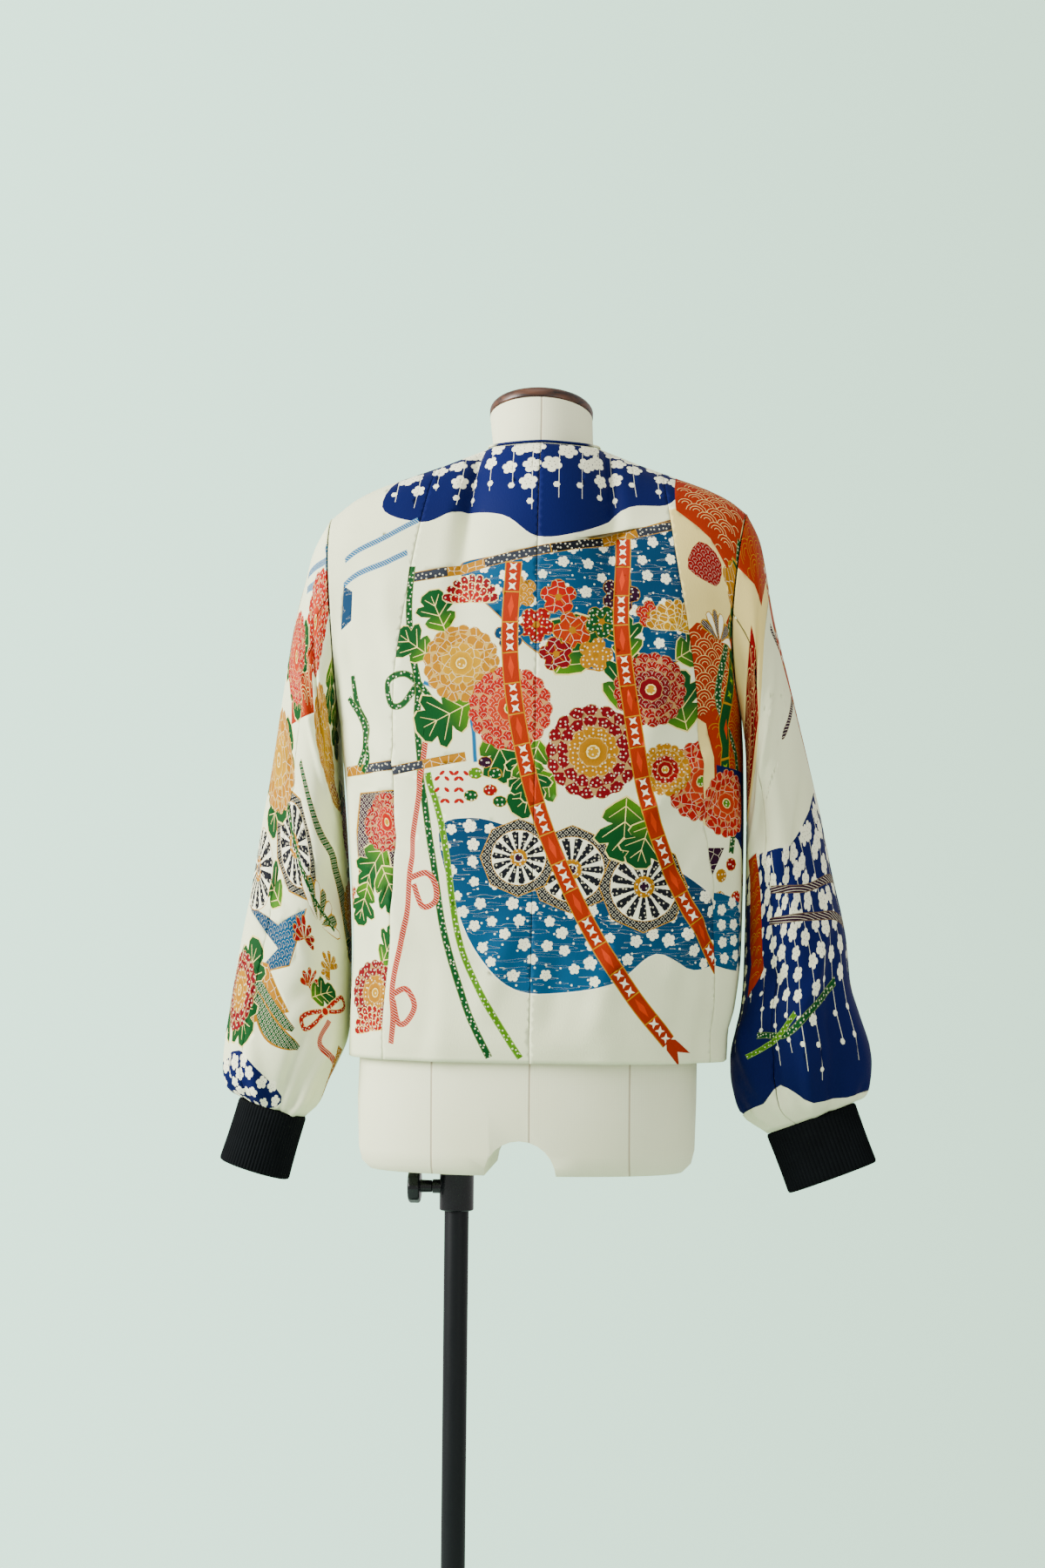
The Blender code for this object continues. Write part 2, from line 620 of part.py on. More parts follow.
def cuff(side, name):
    """Ribbed cuff: ribs on the outside of the wall, a plain inside."""
    tx, tz, bx, bz, half_top, half_bottom, depth_top, depth_bottom = CUFFS[side]
    axis = np.array([bx - tx, bz - tz])
    axis /= np.linalg.norm(axis)
    across = np.array([-axis[1], axis[0]])
    sides = CUFF_RIBS * 2
    outer = []
    inner = []
    for t in (0.0, 1.0):
        mx = tx + (bx - tx) * t
        mz = tz + (bz - tz) * t
        half = half_top + (half_bottom - half_top) * t
        depth = depth_top + (depth_bottom - depth_top) * t
        for ring, drop in ((outer, 0.0), (inner, CUFF_WALL + CUFF_RIB)):
            points = []
            for j in range(sides):
                a = 2 * math.pi * j / sides
                low = drop if drop else CUFF_RIB * (j % 2)
                u = (half - low) * math.cos(a)
                points.append((side * (mx + across[0] * u), -0.004 + (depth - low) * math.sin(a), mz + across[1] * u))
            ring.append(points)
    verts = [p for ring in outer + inner for p in ring]
    faces = []
    for j in range(sides):
        k = (j + 1) % sides
        faces.append((j, sides + j, sides + k, k))
        faces.append((2 * sides + j, 2 * sides + k, 3 * sides + k, 3 * sides + j))
        faces.append((j, k, 2 * sides + k, 2 * sides + j))
        faces.append((sides + j, 3 * sides + j, 3 * sides + k, sides + k))
    return add(name, verts, outward_faces(verts, faces), KNIT)


cuff(1, "cuff_left")
cuff(-1, "cuff_right")


def neck_path():
    """Edge points of the whole neckline from the left front to the right front, each with the cloth's own direction."""
    path = []
    for side, face, shares in (
        (1, -1, np.linspace(0.0, NECK_SHARE_FRONT, 13)[:-1]),
        (1, 1, np.linspace(NECK_SHARE_BACK, 0.0, 8)[:-1]),
        (-1, 1, np.linspace(0.0, NECK_SHARE_BACK, 8)[:-1]),
        (-1, -1, np.linspace(NECK_SHARE_FRONT, 0.0, 13)),
    ):
        for s in shares:
            edge = body_point(side, face, float(s), 2.0)
            path.append((edge, collar_way(edge)))
    return path


path = neck_path()
points = np.array([p for p, _ in path])
lifts = np.array([d / np.linalg.norm(d) for _, d in path])
for _ in range(3):
    lifts[1:-1] = (lifts[:-2] + 2 * lifts[1:-1] + lifts[2:]) / 4
    lifts /= np.linalg.norm(lifts, axis=1)[:, None]
along = np.gradient(points, axis=0)
along /= np.linalg.norm(along, axis=1)[:, None]
lifts -= along * np.sum(lifts * along, axis=1)[:, None]
lifts /= np.linalg.norm(lifts, axis=1)[:, None]
outward = np.cross(along, lifts)
rings = []
for p, lift, out in zip(points, lifts, outward):
    ring = []
    for a in range(0, 360, 45):
        w = BINDING_WIDTH / 2 * math.cos(math.radians(a))
        h = BINDING_HEIGHT / 2 * math.sin(math.radians(a))
        ring.append(p + lift * (SEAM + BINDING_HEIGHT / 2 + 0.0007 + h) + out * w)
    rings.append(ring)
loft("neck_binding", rings[::-1], CREAM)

columns = {}


def cloth_section(side, face, z):
    """The jacket's body cut level at a height: rows of x and y from the middle outward."""
    found = []
    for share in np.linspace(0.0, 1.0, 31):
        if (share, side, face) not in columns:
            levels = np.linspace(1.0, 2.0, 41)
            columns[share, side, face] = np.array([body_point(side, face, float(share), float(v)) for v in levels])
        column = columns[share, side, face]
        if column[-1, 2] < z or column[0, 2] > z:
            continue
        found.append([np.interp(z, column[:, 2], column[:, k]) for k in (0, 1)])
    return np.array(found)


def held_in(x, y, s, sections):
    """y of a point of the form, kept inside the cloth round it, and whether it lies in the open neck."""
    side = 1 if x > 0 else -1
    limits = []
    opened = False
    for face in (1, -1):
        rows = sections[side, face]
        if len(rows) < 2:
            return y, False
        order = np.argsort(np.abs(rows[:, 0]))
        xs = np.abs(rows[order, 0])
        if abs(x) < xs[0] and xs[0] > 0.012 and (s > 0) == (face > 0):
            opened = True
        limits.append(float(np.interp(abs(x), xs, rows[order, 1])) - face * CLEAR)
    back, front = limits
    middle = (front + back) / 2
    edge = middle + 0.0025 * s
    if s >= 0.0:
        return min(max(y, edge), max(back, edge)), opened
    return max(min(y, edge), min(front, edge)), opened


# form with its stumps, arch and bore
rings = []
for z, half, back, front, mid_x, power, tilt in FORM:
    ring = []
    slope = math.tan(math.radians(tilt))
    mid_y = (back + front) / 2
    sections = {}
    if 1.14 < z < 1.406:
        sections = {(sd, fc): cloth_section(sd, fc, z + CLEAR_Z) for sd in (1, -1) for fc in (1, -1)}
    for j in range(FORM_SIDES):
        a = 2 * math.pi * j / FORM_SIDES
        c = math.copysign(abs(math.cos(a)) ** (2 / power), math.cos(a))
        s = math.copysign(abs(math.sin(a)) ** (2 / power), math.sin(a))
        x = mid_x + half * c
        y = mid_y + (back - front) / 2 * s
        if sections:
            held, opened = held_in(x, y, s, sections)
            foot = [float(table(NECK_FOOT, z, k)) for k in (1, 2, 3)]
            bulge = math.sqrt(max(1.0 - (x / foot[0]) ** 2, 0.0))
            foot_mid = (foot[1] + foot[2]) / 2
            reach = (foot[1] - foot[2]) / 2 * bulge
            column = foot_mid + reach if s > 0 else foot_mid - reach
            if opened and bulge > 0.0:
                y = column
            elif bulge > 0.0:
                y = max(held, column) if s > 0 else min(held, column)
            else:
                y = held
        ring.append((x, y, z + (y - mid_y) * slope))
    rings.append(ring)
form = loft("form_body", rings, LINEN)
arch = []
for y in (-0.2, 0.2):
    ring = [(0.011 + ARCH_HALF, y, FORM_BOTTOM - 0.05), (0.011 - ARCH_HALF, y, FORM_BOTTOM - 0.05)]
    for a in range(180, -1, -15):
        r = math.radians(a)
        ring.append((0.011 + ARCH_HALF * math.cos(r), y, FORM_BOTTOM + ARCH_HEIGHT * math.sin(r)))
    arch.append(ring[::-1])
cut(form, loft("arch_cutter", arch, None, cutters), "Arch")
bore = turned("bore_cutter", [(BORE_RADIUS, FORM_BOTTOM - 0.05), (BORE_RADIUS, BORE_TOP)], 32, None, cutters, (POLE_X, 0, 0))
cut(form, bore, "Bore")

# cap, on the tilted neck
top = FORM[-1]
tilt = math.radians(CAP_TILT)
mid_y = (top[2] + top[3]) / 2
depth = (top[2] - top[3]) / 2 / math.cos(tilt)
rings = []
for scale, height in ((0.97, 0.0003), (1.01, 0.0018), (1.01, 0.0085), (0.96, 0.0120), (0.80, 0.0142), (0.45, 0.0152)):
    ring = []
    for j in range(FORM_SIDES):
        a = 2 * math.pi * j / FORM_SIDES
        y = depth * scale * math.sin(a)
        ring.append(
            (
                top[4] + top[1] * scale * math.cos(a),
                mid_y + y * math.cos(tilt) - height * math.sin(tilt),
                top[0] + y * math.sin(tilt) + height * math.cos(tilt),
            )
        )
    rings.append(ring)
loft("neck_cap", rings, WALNUT)

# pole, base, socket and clamp knob
turned(
    "pole",
    [(POLE_RADIUS - 0.001, BASE_THICK + 0.0003), (POLE_RADIUS, BASE_THICK + 0.0013), (POLE_RADIUS, POLE_TOP - 0.0015), (POLE_RADIUS - 0.0015, POLE_TOP)],
    32,
    STEEL,
    origin=(POLE_X, 0, 0),
)
turned(
    "stand_base",
    [
        (BASE_RADIUS - 0.001, 0.0),
        (BASE_RADIUS, 0.001),
        (BASE_RADIUS, BASE_THICK - 0.003),
        (BASE_RADIUS - 0.003, BASE_THICK),
        (COLLAR_RADIUS, BASE_THICK),
        (COLLAR_RADIUS, COLLAR_TOP - 0.002),
        (COLLAR_RADIUS - 0.002, COLLAR_TOP),
        (POLE_RADIUS + 0.0004, COLLAR_TOP),
        (POLE_RADIUS + 0.0004, BASE_THICK),
    ],
    52,
    STEEL,
    origin=(POLE_X, 0, 0),
)
plate_top = FORM_BOTTOM - 0.0003
socket = turned(
    "socket",
    [
        (TUBE_RADIUS - 0.001, TUBE_BOTTOM),
        (TUBE_RADIUS, TUBE_BOTTOM + 0.001),
        (TUBE_RADIUS, plate_top - PLATE_THICK),
        (PLATE_RADIUS, plate_top - PLATE_THICK),
        (PLATE_RADIUS, plate_top),
    ],
    40,
    PLASTIC,
    origin=(POLE_X, 0, 0),
)
boss = turned(
    "boss_tool", [(BOSS_RADIUS, 0.085), (BOSS_RADIUS, BOSS_END)], 24, None, cutters, (0, 0, CLAMP_Z), along="x"
)
boss.hide_render = True
boss.display_type = "WIRE"
join = socket.modifiers.new("Boss", "BOOLEAN")
join.operation = "UNION"
join.solver = "EXACT"
join.object = boss
hollow = turned(
    "hollow_cutter", [(POLE_RADIUS + 0.0006, 0.60), (POLE_RADIUS + 0.0006, 0.70)], 32, None, cutters, (POLE_X, 0, 0)
)
cut(socket, hollow, "Hollow")
hole = turned("hole_cutter", [(SCREW_HOLE, 0.088), (SCREW_HOLE, 0.13)], 20, None, cutters, (0, 0, CLAMP_Z), along="x")
cut(socket, hole, "ScrewHole")

KNOB_COLUMNS = ("x", "radius", "flute")
KNOB = [
    (0.0949, 0.0030, 0.0),
    (0.0957, SCREW_RADIUS, 0.0),
    (0.1072, SCREW_RADIUS, 0.0),
    (0.1073, 0.0062, 0.0),
    (0.1190, 0.0066, 0.0),
    (0.1191, 0.0155, 0.6),
    (0.1210, 0.0175, 1.0),
    (0.1295, 0.0175, 1.0),
    (0.1313, 0.0158, 0.6),
    (0.1317, 0.0120, 0.2),
]
rings = []
for x, radius, flute in KNOB:
    ring = []
    for j in range(48):
        a = 2 * math.pi * j / 48
        r = radius - 0.0011 * flute * (0.5 - 0.5 * math.cos(8 * a))
        ring.append((x, r * math.cos(a), CLAMP_Z + r * math.sin(a)))
    rings.append(ring)
loft("knob", rings, PLASTIC)
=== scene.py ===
# %% [markdown]
# # A kimono jacket on a dress form
# A short bloused jacket, cut from dyed kimono crepe, hangs on a linen form. We load the frame of solids first,
# because every cloth piece below has to sit on the solid that stands for it.

# %% The frame
import math
import random

import bmesh
import bpy
import numpy as np
from mathutils import Matrix, Vector
from mathutils.bvhtree import BVHTree
from mathutils.geometry import barycentric_transform, delaunay_2d_cdt

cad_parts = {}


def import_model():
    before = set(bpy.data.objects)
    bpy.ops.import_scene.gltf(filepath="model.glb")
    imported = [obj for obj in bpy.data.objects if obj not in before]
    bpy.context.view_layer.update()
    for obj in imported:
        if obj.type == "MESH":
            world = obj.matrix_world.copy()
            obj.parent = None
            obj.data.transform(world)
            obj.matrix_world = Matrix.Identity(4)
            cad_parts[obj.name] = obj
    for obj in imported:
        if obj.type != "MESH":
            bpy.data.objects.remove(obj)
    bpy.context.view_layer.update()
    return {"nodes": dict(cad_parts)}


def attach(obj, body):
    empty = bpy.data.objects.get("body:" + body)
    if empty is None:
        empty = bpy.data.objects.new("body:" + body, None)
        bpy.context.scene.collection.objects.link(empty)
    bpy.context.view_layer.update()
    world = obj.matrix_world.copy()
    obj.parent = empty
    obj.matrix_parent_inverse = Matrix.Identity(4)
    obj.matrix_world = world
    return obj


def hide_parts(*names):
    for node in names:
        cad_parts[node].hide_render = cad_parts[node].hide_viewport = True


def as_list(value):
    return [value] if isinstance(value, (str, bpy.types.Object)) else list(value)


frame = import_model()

# %% [markdown]
# ## The jacket's form
# The pattern pieces are read from a few tables, the same sizes that the solids have: half widths and depths of the
# body by height, the shoulder seam, and sections of each sleeve. A smooth cubic through a table's rows gives the
# values between them, so the cloth has no corners at a row.

# %% Sizes and tables of the body
HEM_Z, UNDERARM_Z = 0.7925, 1.130
SEAM_GAP = 0.0006
FRONT_OPENING = 0.010
NECK_HALF, NECK_SIDE_Z = 0.058, 1.4108
NECK_BACK_Y, NECK_BACK_Z = 0.045, 1.4140
NECK_FRONT_Y, NECK_FRONT_Z = -0.098, 1.345
NECK_SHARE = {1: 0.30, -1: 0.36}
# z, half width, on the wearer's left and right
SIDES = {
    1: [(0.7925, 0.1925), (0.813, 0.1920), (0.865, 0.1905), (0.9015, 0.1890), (1.031, 0.1955), (1.0765, 0.1995),
        (1.122, 0.2044), (1.164, 0.2075), (1.208, 0.2114), (1.304, 0.2165), (1.3385, 0.2150)],
    -1: [(0.7925, 0.1915), (0.820, 0.1926), (0.845, 0.1990), (0.902, 0.2050), (1.000, 0.2065), (1.094, 0.2055),
         (1.145, 0.2025), (1.180, 0.1990), (1.219, 0.1975), (1.300, 0.2020), (1.3420, 0.2055)],
}
# z, depth behind, depth in front, x of the centre-back seam
DEPTHS = [(0.7925, 0.108, -0.116, 0.001), (0.812, 0.113, -0.121, 0.001), (0.870, 0.118, -0.127, 0.000),
          (1.000, 0.124, -0.132, -0.002), (1.130, 0.126, -0.134, -0.003), (1.250, 0.126, -0.134, -0.004),
          (1.415, 0.126, -0.134, 0.000)]
# x, y, z of the shoulder seam from the neck outward
SHOULDER = [(0.058, 0.000, 1.4108), (0.098, 0.004, 1.3945), (0.134, 0.008, 1.3815), (0.167, 0.009, 1.3695),
            (0.190, 0.009, 1.3580)]
SHOULDER_TIP = {1: (0.2150, 0.008, 1.3385), -1: (0.2055, 0.008, 1.3460)}
# z, share of the way round from the centre back at which the side panel is sewn on, left and right
PANEL_SEAM = [(0.7925, 0.62, 0.77), (0.950, 0.56, 0.70), (1.130, 0.53, 0.62), (1.400, 0.52, 0.60)]
# side, face (1 behind, -1 in front), share, width, raise, from z, to z
BODY_FOLDS = [
    (1, 1, 0.80, 0.045, 0.0035, 0.80, 1.16), (1, 1, 0.66, 0.050, -0.0030, 0.84, 1.18),
    (1, 1, 0.38, 0.060, 0.0020, 0.79, 0.96), (-1, 1, 0.84, 0.045, 0.0040, 0.79, 1.12),
    (-1, 1, 0.70, 0.050, -0.0035, 0.79, 1.10), (-1, 1, 0.30, 0.060, 0.0020, 0.79, 0.93),
    (1, -1, 0.74, 0.050, 0.0035, 0.80, 1.15), (1, -1, 0.52, 0.060, -0.0030, 0.82, 1.10),
    (-1, -1, 0.76, 0.050, 0.0040, 0.79, 1.13), (-1, -1, 0.55, 0.060, -0.0030, 0.83, 1.12),
]


def table(rows, key, column):
    xs = np.array([r[0] for r in rows], float)
    ys = np.array([r[column] for r in rows], float)
    step = np.diff(xs)
    slope = np.diff(ys) / step
    m = np.zeros(len(xs))
    for i in range(1, len(xs) - 1):
        if slope[i - 1] * slope[i] > 0:
            m[i] = 2.0 * slope[i - 1] * slope[i] / (slope[i - 1] + slope[i])
    m[0], m[-1] = slope[0], slope[-1]
    k = np.clip(np.asarray(key, float), xs[0], xs[-1])
    i = np.clip(np.searchsorted(xs, k, side="right") - 1, 0, len(xs) - 2)
    t = (k - xs[i]) / step[i]
    a = (1 + 2 * t) * (1 - t) ** 2 * ys[i] + t * (1 - t) ** 2 * step[i] * m[i]
    return a + t * t * (3 - 2 * t) * ys[i + 1] + t * t * (t - 1) * step[i] * m[i + 1]


def smooth(a, b, x):
    t = np.clip((np.asarray(x, float) - a) / (b - a), 0.0, 1.0)
    return t * t * (3 - 2 * t)


def rows_of(*columns):
    """Columns of numbers, plain or by place, as an array of points."""
    return np.stack(np.broadcast_arrays(*columns), axis=-1).astype(float)


# %% [markdown]
# ## The body
# Below the underarm a level row round the body is a quarter of a rounded box. Above it, lines run up from that row to
# the neckline or over the shoulder seam. Where a line nears the sleeve it is drawn towards the armhole.

# %% Rows of the body
def lower(side, face, shares, z):
    width = float(table(SIDES[side], z, 1))
    depth = float(table(DEPTHS, z, 1 if face > 0 else 2))
    t = np.linspace(0.0, math.pi / 2, 240)
    x, y = width * np.sin(t) ** 0.8, depth * np.cos(t) ** 0.8
    run = np.concatenate([[0.0], np.cumsum(np.hypot(np.diff(x), np.diff(y)))])
    run /= run[-1]
    x, y = side * np.interp(shares, run, x), np.interp(shares, run, y)
    if face > 0:
        x = x + float(table(DEPTHS, z, 3)) * (1.0 - shares) ** 2
    else:
        x = x + side * FRONT_OPENING / 2 * (1.0 - shares) ** 3
    return rows_of(x, y, z)


def top_edge(side, face, shares):
    neck = NECK_SHARE[face]
    t = np.clip(shares / neck, 0.0, 1.0) * math.pi / 2
    if face > 0:
        rise = (NECK_SIDE_Z - NECK_BACK_Z) * np.sin(t)
        collar = rows_of(side * NECK_HALF * np.sin(t), NECK_BACK_Y * np.cos(t), NECK_BACK_Z + rise)
    else:
        start = FRONT_OPENING / 2
        rise = (NECK_SIDE_Z - NECK_FRONT_Z) * (1.0 - np.cos(t)) ** 1.15
        collar = rows_of(side * (start + (NECK_HALF - start) * np.sin(t)), NECK_FRONT_Y * np.cos(t),
            NECK_FRONT_Z + rise)
    rows = SHOULDER + [SHOULDER_TIP[side]]
    x = NECK_HALF + (rows[-1][0] - NECK_HALF) * np.clip((shares - neck) / (1.0 - neck), 0.0, 1.0)
    seam = rows_of(side * x, table(rows, x, 1), table(rows, x, 2))
    return np.where((shares <= neck)[:, None], collar, seam)


def armhole(side, turn):
    a = np.radians(turn)
    tip = SHOULDER_TIP[side]
    z = (tip[2] + UNDERARM_Z) / 2 + (tip[2] - UNDERARM_Z) / 2 * np.cos(a)
    x = table(SIDES[side], z, 1) - 0.004 * np.sin(a) ** 2
    return rows_of(side * x, 0.062 * np.sin(a) + tip[1] * (1 + np.cos(a)) / 2, z)


def collar_way(points):
    radial = points * (1.0, 1.0, 0.0) + (0.0, 0.02, 0.0)
    radial /= np.linalg.norm(radial, axis=1)[:, None]
    lean = 0.62 - 0.42 * smooth(0.02, 0.09, -points[:, 1])
    way = np.array([0.0, 0.0, 1.0]) - lean[:, None] * radial
    return way / np.linalg.norm(way, axis=1)[:, None]


def upper(side, face, shares, v):
    neck = NECK_SHARE[face]

    def run(s):
        edge = top_edge(side, face, s)
        mix = smooth(neck - 0.08, neck + 0.11, s)[:, None]
        rise = collar_way(edge) + (0.0, -0.55 * face, 0.0)
        end = rise / np.linalg.norm(rise, axis=1)[:, None] * 0.19 * (1 - mix) + np.array([0.0, -0.20 * face, 0.0]) * mix
        return (
            (1 + 2 * v) * (1 - v) ** 2 * lower(side, face, s, UNDERARM_Z)
            + v * (1 - v) ** 2 * np.array([0.0, 0.0, 0.36])
            + v * v * (3 - 2 * v) * edge
            + v * v * (v - 1) * end
        )

    turn = 180.0 * (1.0 - v)
    edge = armhole(side, turn if face > 0 else 360.0 - turn)
    weight = np.clip((shares - 0.35) / 0.65, 0.0, 1.0) ** 1.8
    return run(shares) + weight[:, None] * (edge - run(np.array([1.0]))[0])


def body_row(side, face, shares, level):
    """Points of the body at one level: 0 at the hem, 1 at the underarm, 2 at the top edge."""
    if level <= 1.0:
        p = lower(side, face, shares, HEM_Z + (UNDERARM_Z - HEM_Z) * level)
    else:
        p = upper(side, face, shares, level - 1.0)
    out = np.zeros(len(shares))
    for fold in BODY_FOLDS:
        if fold[:2] == (side, face):
            ends = 1.0 - smooth(fold[6] - 0.12, fold[6], p[:, 2])
            if fold[5] >= 0.80:
                ends = ends * smooth(fold[5] - 0.05, fold[5] + 0.06, p[:, 2])
            out += fold[4] * np.exp(-(((shares - fold[2]) / fold[3]) ** 2)) * ends
    away = p / (0.2**2, 0.126**2, 1.0) * (1.0, 1.0, 0.0)
    return p + away / np.linalg.norm(away, axis=1)[:, None] * out[:, None]


def seam_share(side, level):
    z = HEM_Z + (UNDERARM_Z - HEM_Z) * min(level, 1.0) + (1.40 - UNDERARM_Z) * max(level - 1.0, 0.0)
    return float(table(PANEL_SEAM, z, 1 if side > 0 else 2))


# %% [markdown]
# ## The sleeves
# A sleeve is a run of slanted ovals from the armhole to the cuff. Each row gives the outer and the inner point as
# seen from behind, and how deep the oval is. Near the cuff the fullness is taken in by small tucks.

# %% Sleeve sections
# outer x, outer z, inner x, inner z, half depth, middle y
SLEEVES = {
    1: [(0.2150, 1.3385, 0.2068, 1.1300, 0.062, 0.002), (0.2330, 1.3080, 0.2080, 1.1060, 0.067, 0.000),
        (0.2425, 1.2740, 0.2065, 1.0760, 0.070, -0.003), (0.2530, 1.2330, 0.2035, 1.0400, 0.070, -0.005),
        (0.2638, 1.1680, 0.1995, 0.9920, 0.068, -0.007), (0.2755, 1.0880, 0.1965, 0.9440, 0.066, -0.008),
        (0.2850, 1.0320, 0.1950, 0.9080, 0.065, -0.008), (0.2952, 0.9660, 0.1948, 0.8720, 0.065, -0.008),
        (0.3060, 0.9090, 0.1955, 0.8430, 0.064, -0.008), (0.3150, 0.8540, 0.1960, 0.8190, 0.062, -0.008),
        (0.3215, 0.8110, 0.1985, 0.8040, 0.058, -0.007), (0.3243, 0.7800, 0.2050, 0.7880, 0.052, -0.006),
        (0.3222, 0.7640, 0.2145, 0.7680, 0.045, -0.005), (0.3150, 0.7530, 0.2260, 0.7430, 0.037, -0.004)],
    -1: [(0.2055, 1.3460, 0.2060, 1.1300, 0.062, 0.002), (0.2200, 1.3180, 0.2085, 1.1050, 0.067, 0.000),
         (0.2280, 1.2790, 0.2095, 1.0750, 0.070, -0.003), (0.2355, 1.2380, 0.2100, 1.0350, 0.070, -0.005),
         (0.2530, 1.1680, 0.2098, 0.9850, 0.068, -0.007), (0.2718, 1.0920, 0.2095, 0.9350, 0.066, -0.008),
         (0.2845, 1.0390, 0.2090, 0.9000, 0.065, -0.008), (0.2965, 0.9820, 0.2080, 0.8680, 0.064, -0.008),
         (0.3103, 0.9230, 0.2055, 0.8430, 0.062, -0.008), (0.3165, 0.8700, 0.2010, 0.8220, 0.059, -0.008),
         (0.3265, 0.8380, 0.1970, 0.8040, 0.055, -0.007), (0.3365, 0.8080, 0.1960, 0.7880, 0.048, -0.006),
         (0.3385, 0.7830, 0.1985, 0.7640, 0.038, -0.005), (0.3325, 0.7590, 0.2100, 0.7370, 0.027, -0.004)],
}
# top x, top z, bottom x, bottom z, half width at top and bottom, half depth at top and bottom
CUFFS = {
    1: (0.2728, 0.7360, 0.2917, 0.6720, 0.0360, 0.0374, 0.0290, 0.0300),
    -1: (0.2779, 0.7335, 0.3008, 0.6739, 0.0480, 0.0477, 0.0150, 0.0165),
}
CUFF_GAP, CUFF_RIB, CUFF_WALL = 0.0011, 0.0008, 0.0020
# share of the length, degrees round to the back seam, left and right; the front seam is at one place
SLEEVE_SEAM = [(0.0, 78.0, 88.0), (0.30, 70.0, 100.0), (0.75, 55.0, 112.0), (1.0, 58.0, 108.0)]
FRONT_SEAM = 292.0
# side, place round in degrees, width in degrees, raise, from and to share of the length
SLEEVE_FOLDS = [
    (1, 60.0, 16.0, -0.0045, 0.20, 0.80), (1, 100.0, 18.0, 0.0040, 0.30, 0.95), (1, 130.0, 16.0, -0.0040, 0.25, 0.75),
    (1, 250.0, 18.0, -0.0040, 0.30, 0.85), (-1, 112.0, 16.0, -0.0060, 0.05, 0.85), (-1, 84.0, 18.0, 0.0040, 0.30, 0.95),
    (-1, 48.0, 16.0, -0.0035, 0.45, 0.95), (-1, 255.0, 18.0, -0.0040, 0.30, 0.85),
]


def sleeve_rows(side):
    tx, tz, bx, bz, half, _, depth, _ = CUFFS[side]
    axis = np.array([tx - bx, tz - bz])
    axis /= np.linalg.norm(axis)
    across = np.array([axis[1], -axis[0]])
    middle = np.array([tx, tz]) + axis * CUFF_GAP
    reach = half - CUFF_RIB - CUFF_WALL / 2
    outer, inner = middle + across * reach, middle - across * reach
    return SLEEVES[side] + [(*outer, *inner, depth - CUFF_RIB - CUFF_WALL / 2, -0.004)]


def spline(values, at):
    values = np.asarray(values, float)
    i = int(min(max(math.floor(at), 0), len(values) - 2))
    t = at - i
    p0 = values[i - 1] if i > 0 else 2 * values[0] - values[1]
    p1, p2 = values[i], values[i + 1]
    p3 = values[i + 2] if i + 2 < len(values) else 2 * values[-1] - values[-2]
    return 0.5 * (2 * p1 + (p2 - p0) * t + (2 * p0 - 5 * p1 + 4 * p2 - p3) * t**2 + (3 * p1 - p0 - 3 * p2 + p3) * t**3)


def sleeve_row(side, turns, share):
    rows = sleeve_rows(side)
    a = np.radians(turns)
    c = np.sign(np.cos(a)) * np.abs(np.cos(a)) ** (2.0 / 2.2)
    s = np.sign(np.sin(a)) * np.abs(np.sin(a)) ** (2.0 / 2.2)
    line = []
    for i, r in enumerate(rows):
        line.append(rows_of(side * ((r[0] + r[2]) / 2 + (r[0] - r[2]) / 2 * c), r[5] + r[4] * s,
            (r[1] + r[3]) / 2 + (r[1] - r[3]) / 2 * c))
    away = np.abs((turns + 180.0) % 360.0 - 180.0)
    out = 0.0010 + 0.0008 * smooth(6.0, 26.0, away) + 0.0005 * smooth(80.0, 170.0, away)
    line[0] = armhole(side, turns) + rows_of(side * out, 0.0, 0.0)
    at = share * (len(rows) - 1)
    p = spline(line, at)
    row = spline(rows, at)
    middle = np.array([side * (row[0] + row[2]) / 2, row[5], (row[1] + row[3]) / 2])
    out = np.zeros(len(turns))
    for fold in SLEEVE_FOLDS:
        if fold[0] == side:
            gap = (turns - fold[1] + 180.0) % 360.0 - 180.0
            ends = smooth(fold[4] - 0.12, fold[4] + 0.08, share) * (1.0 - smooth(fold[5] - 0.12, fold[5], share))
            out += fold[3] * np.exp(-((gap / fold[2]) ** 2)) * ends
    tuck = smooth(0.84, 0.93, share) * (1.0 - smooth(0.95, 1.0, share))
    out += 0.0022 * tuck * np.sin(a * 11)
    way = p - middle
    return p + way / np.linalg.norm(way, axis=1)[:, None] * out[:, None]


# %% [markdown]
# ## Cloth as a flat map
# A dyer paints a pattern piece while it lies flat. We do the same: every stretch of cloth gets a flat map, measured
# along the cloth in metres, and creases and print are both drawn on that map. Points go back to the body through the
# fine grid of the map. On a sleeve slanted rows lie level in the map, so it is wider than the sleeve's cut, which is
# worked out by itself further down. The creases are pulls and droops placed one by one, each a soft ridge or trough.

# %% Flat maps with their creases
CREASE_GAIN = 1.45    # the creases below are raised by this much more than their tables say
WIDTH_KEPT = 0.92     # share of a sleeve's widest row that lower rows keep


def flat_map(grid, across_from, across_sign, length_sign):
    """Flat places of a grid's points: rows run along the cloth's length, columns across it."""
    steps = np.linalg.norm(np.diff(grid, axis=1), axis=2)
    across = np.concatenate([np.zeros((len(grid), 1)), np.cumsum(steps, axis=1)], axis=1)
    across -= across[np.arange(len(grid)), across_from][:, None]
    steps = np.linalg.norm(np.diff(grid, axis=0), axis=2)
    along = np.concatenate([np.zeros((1, grid.shape[1])), np.cumsum(steps, axis=0)], axis=0)
    return np.stack([across * across_sign, along * length_sign], axis=2)


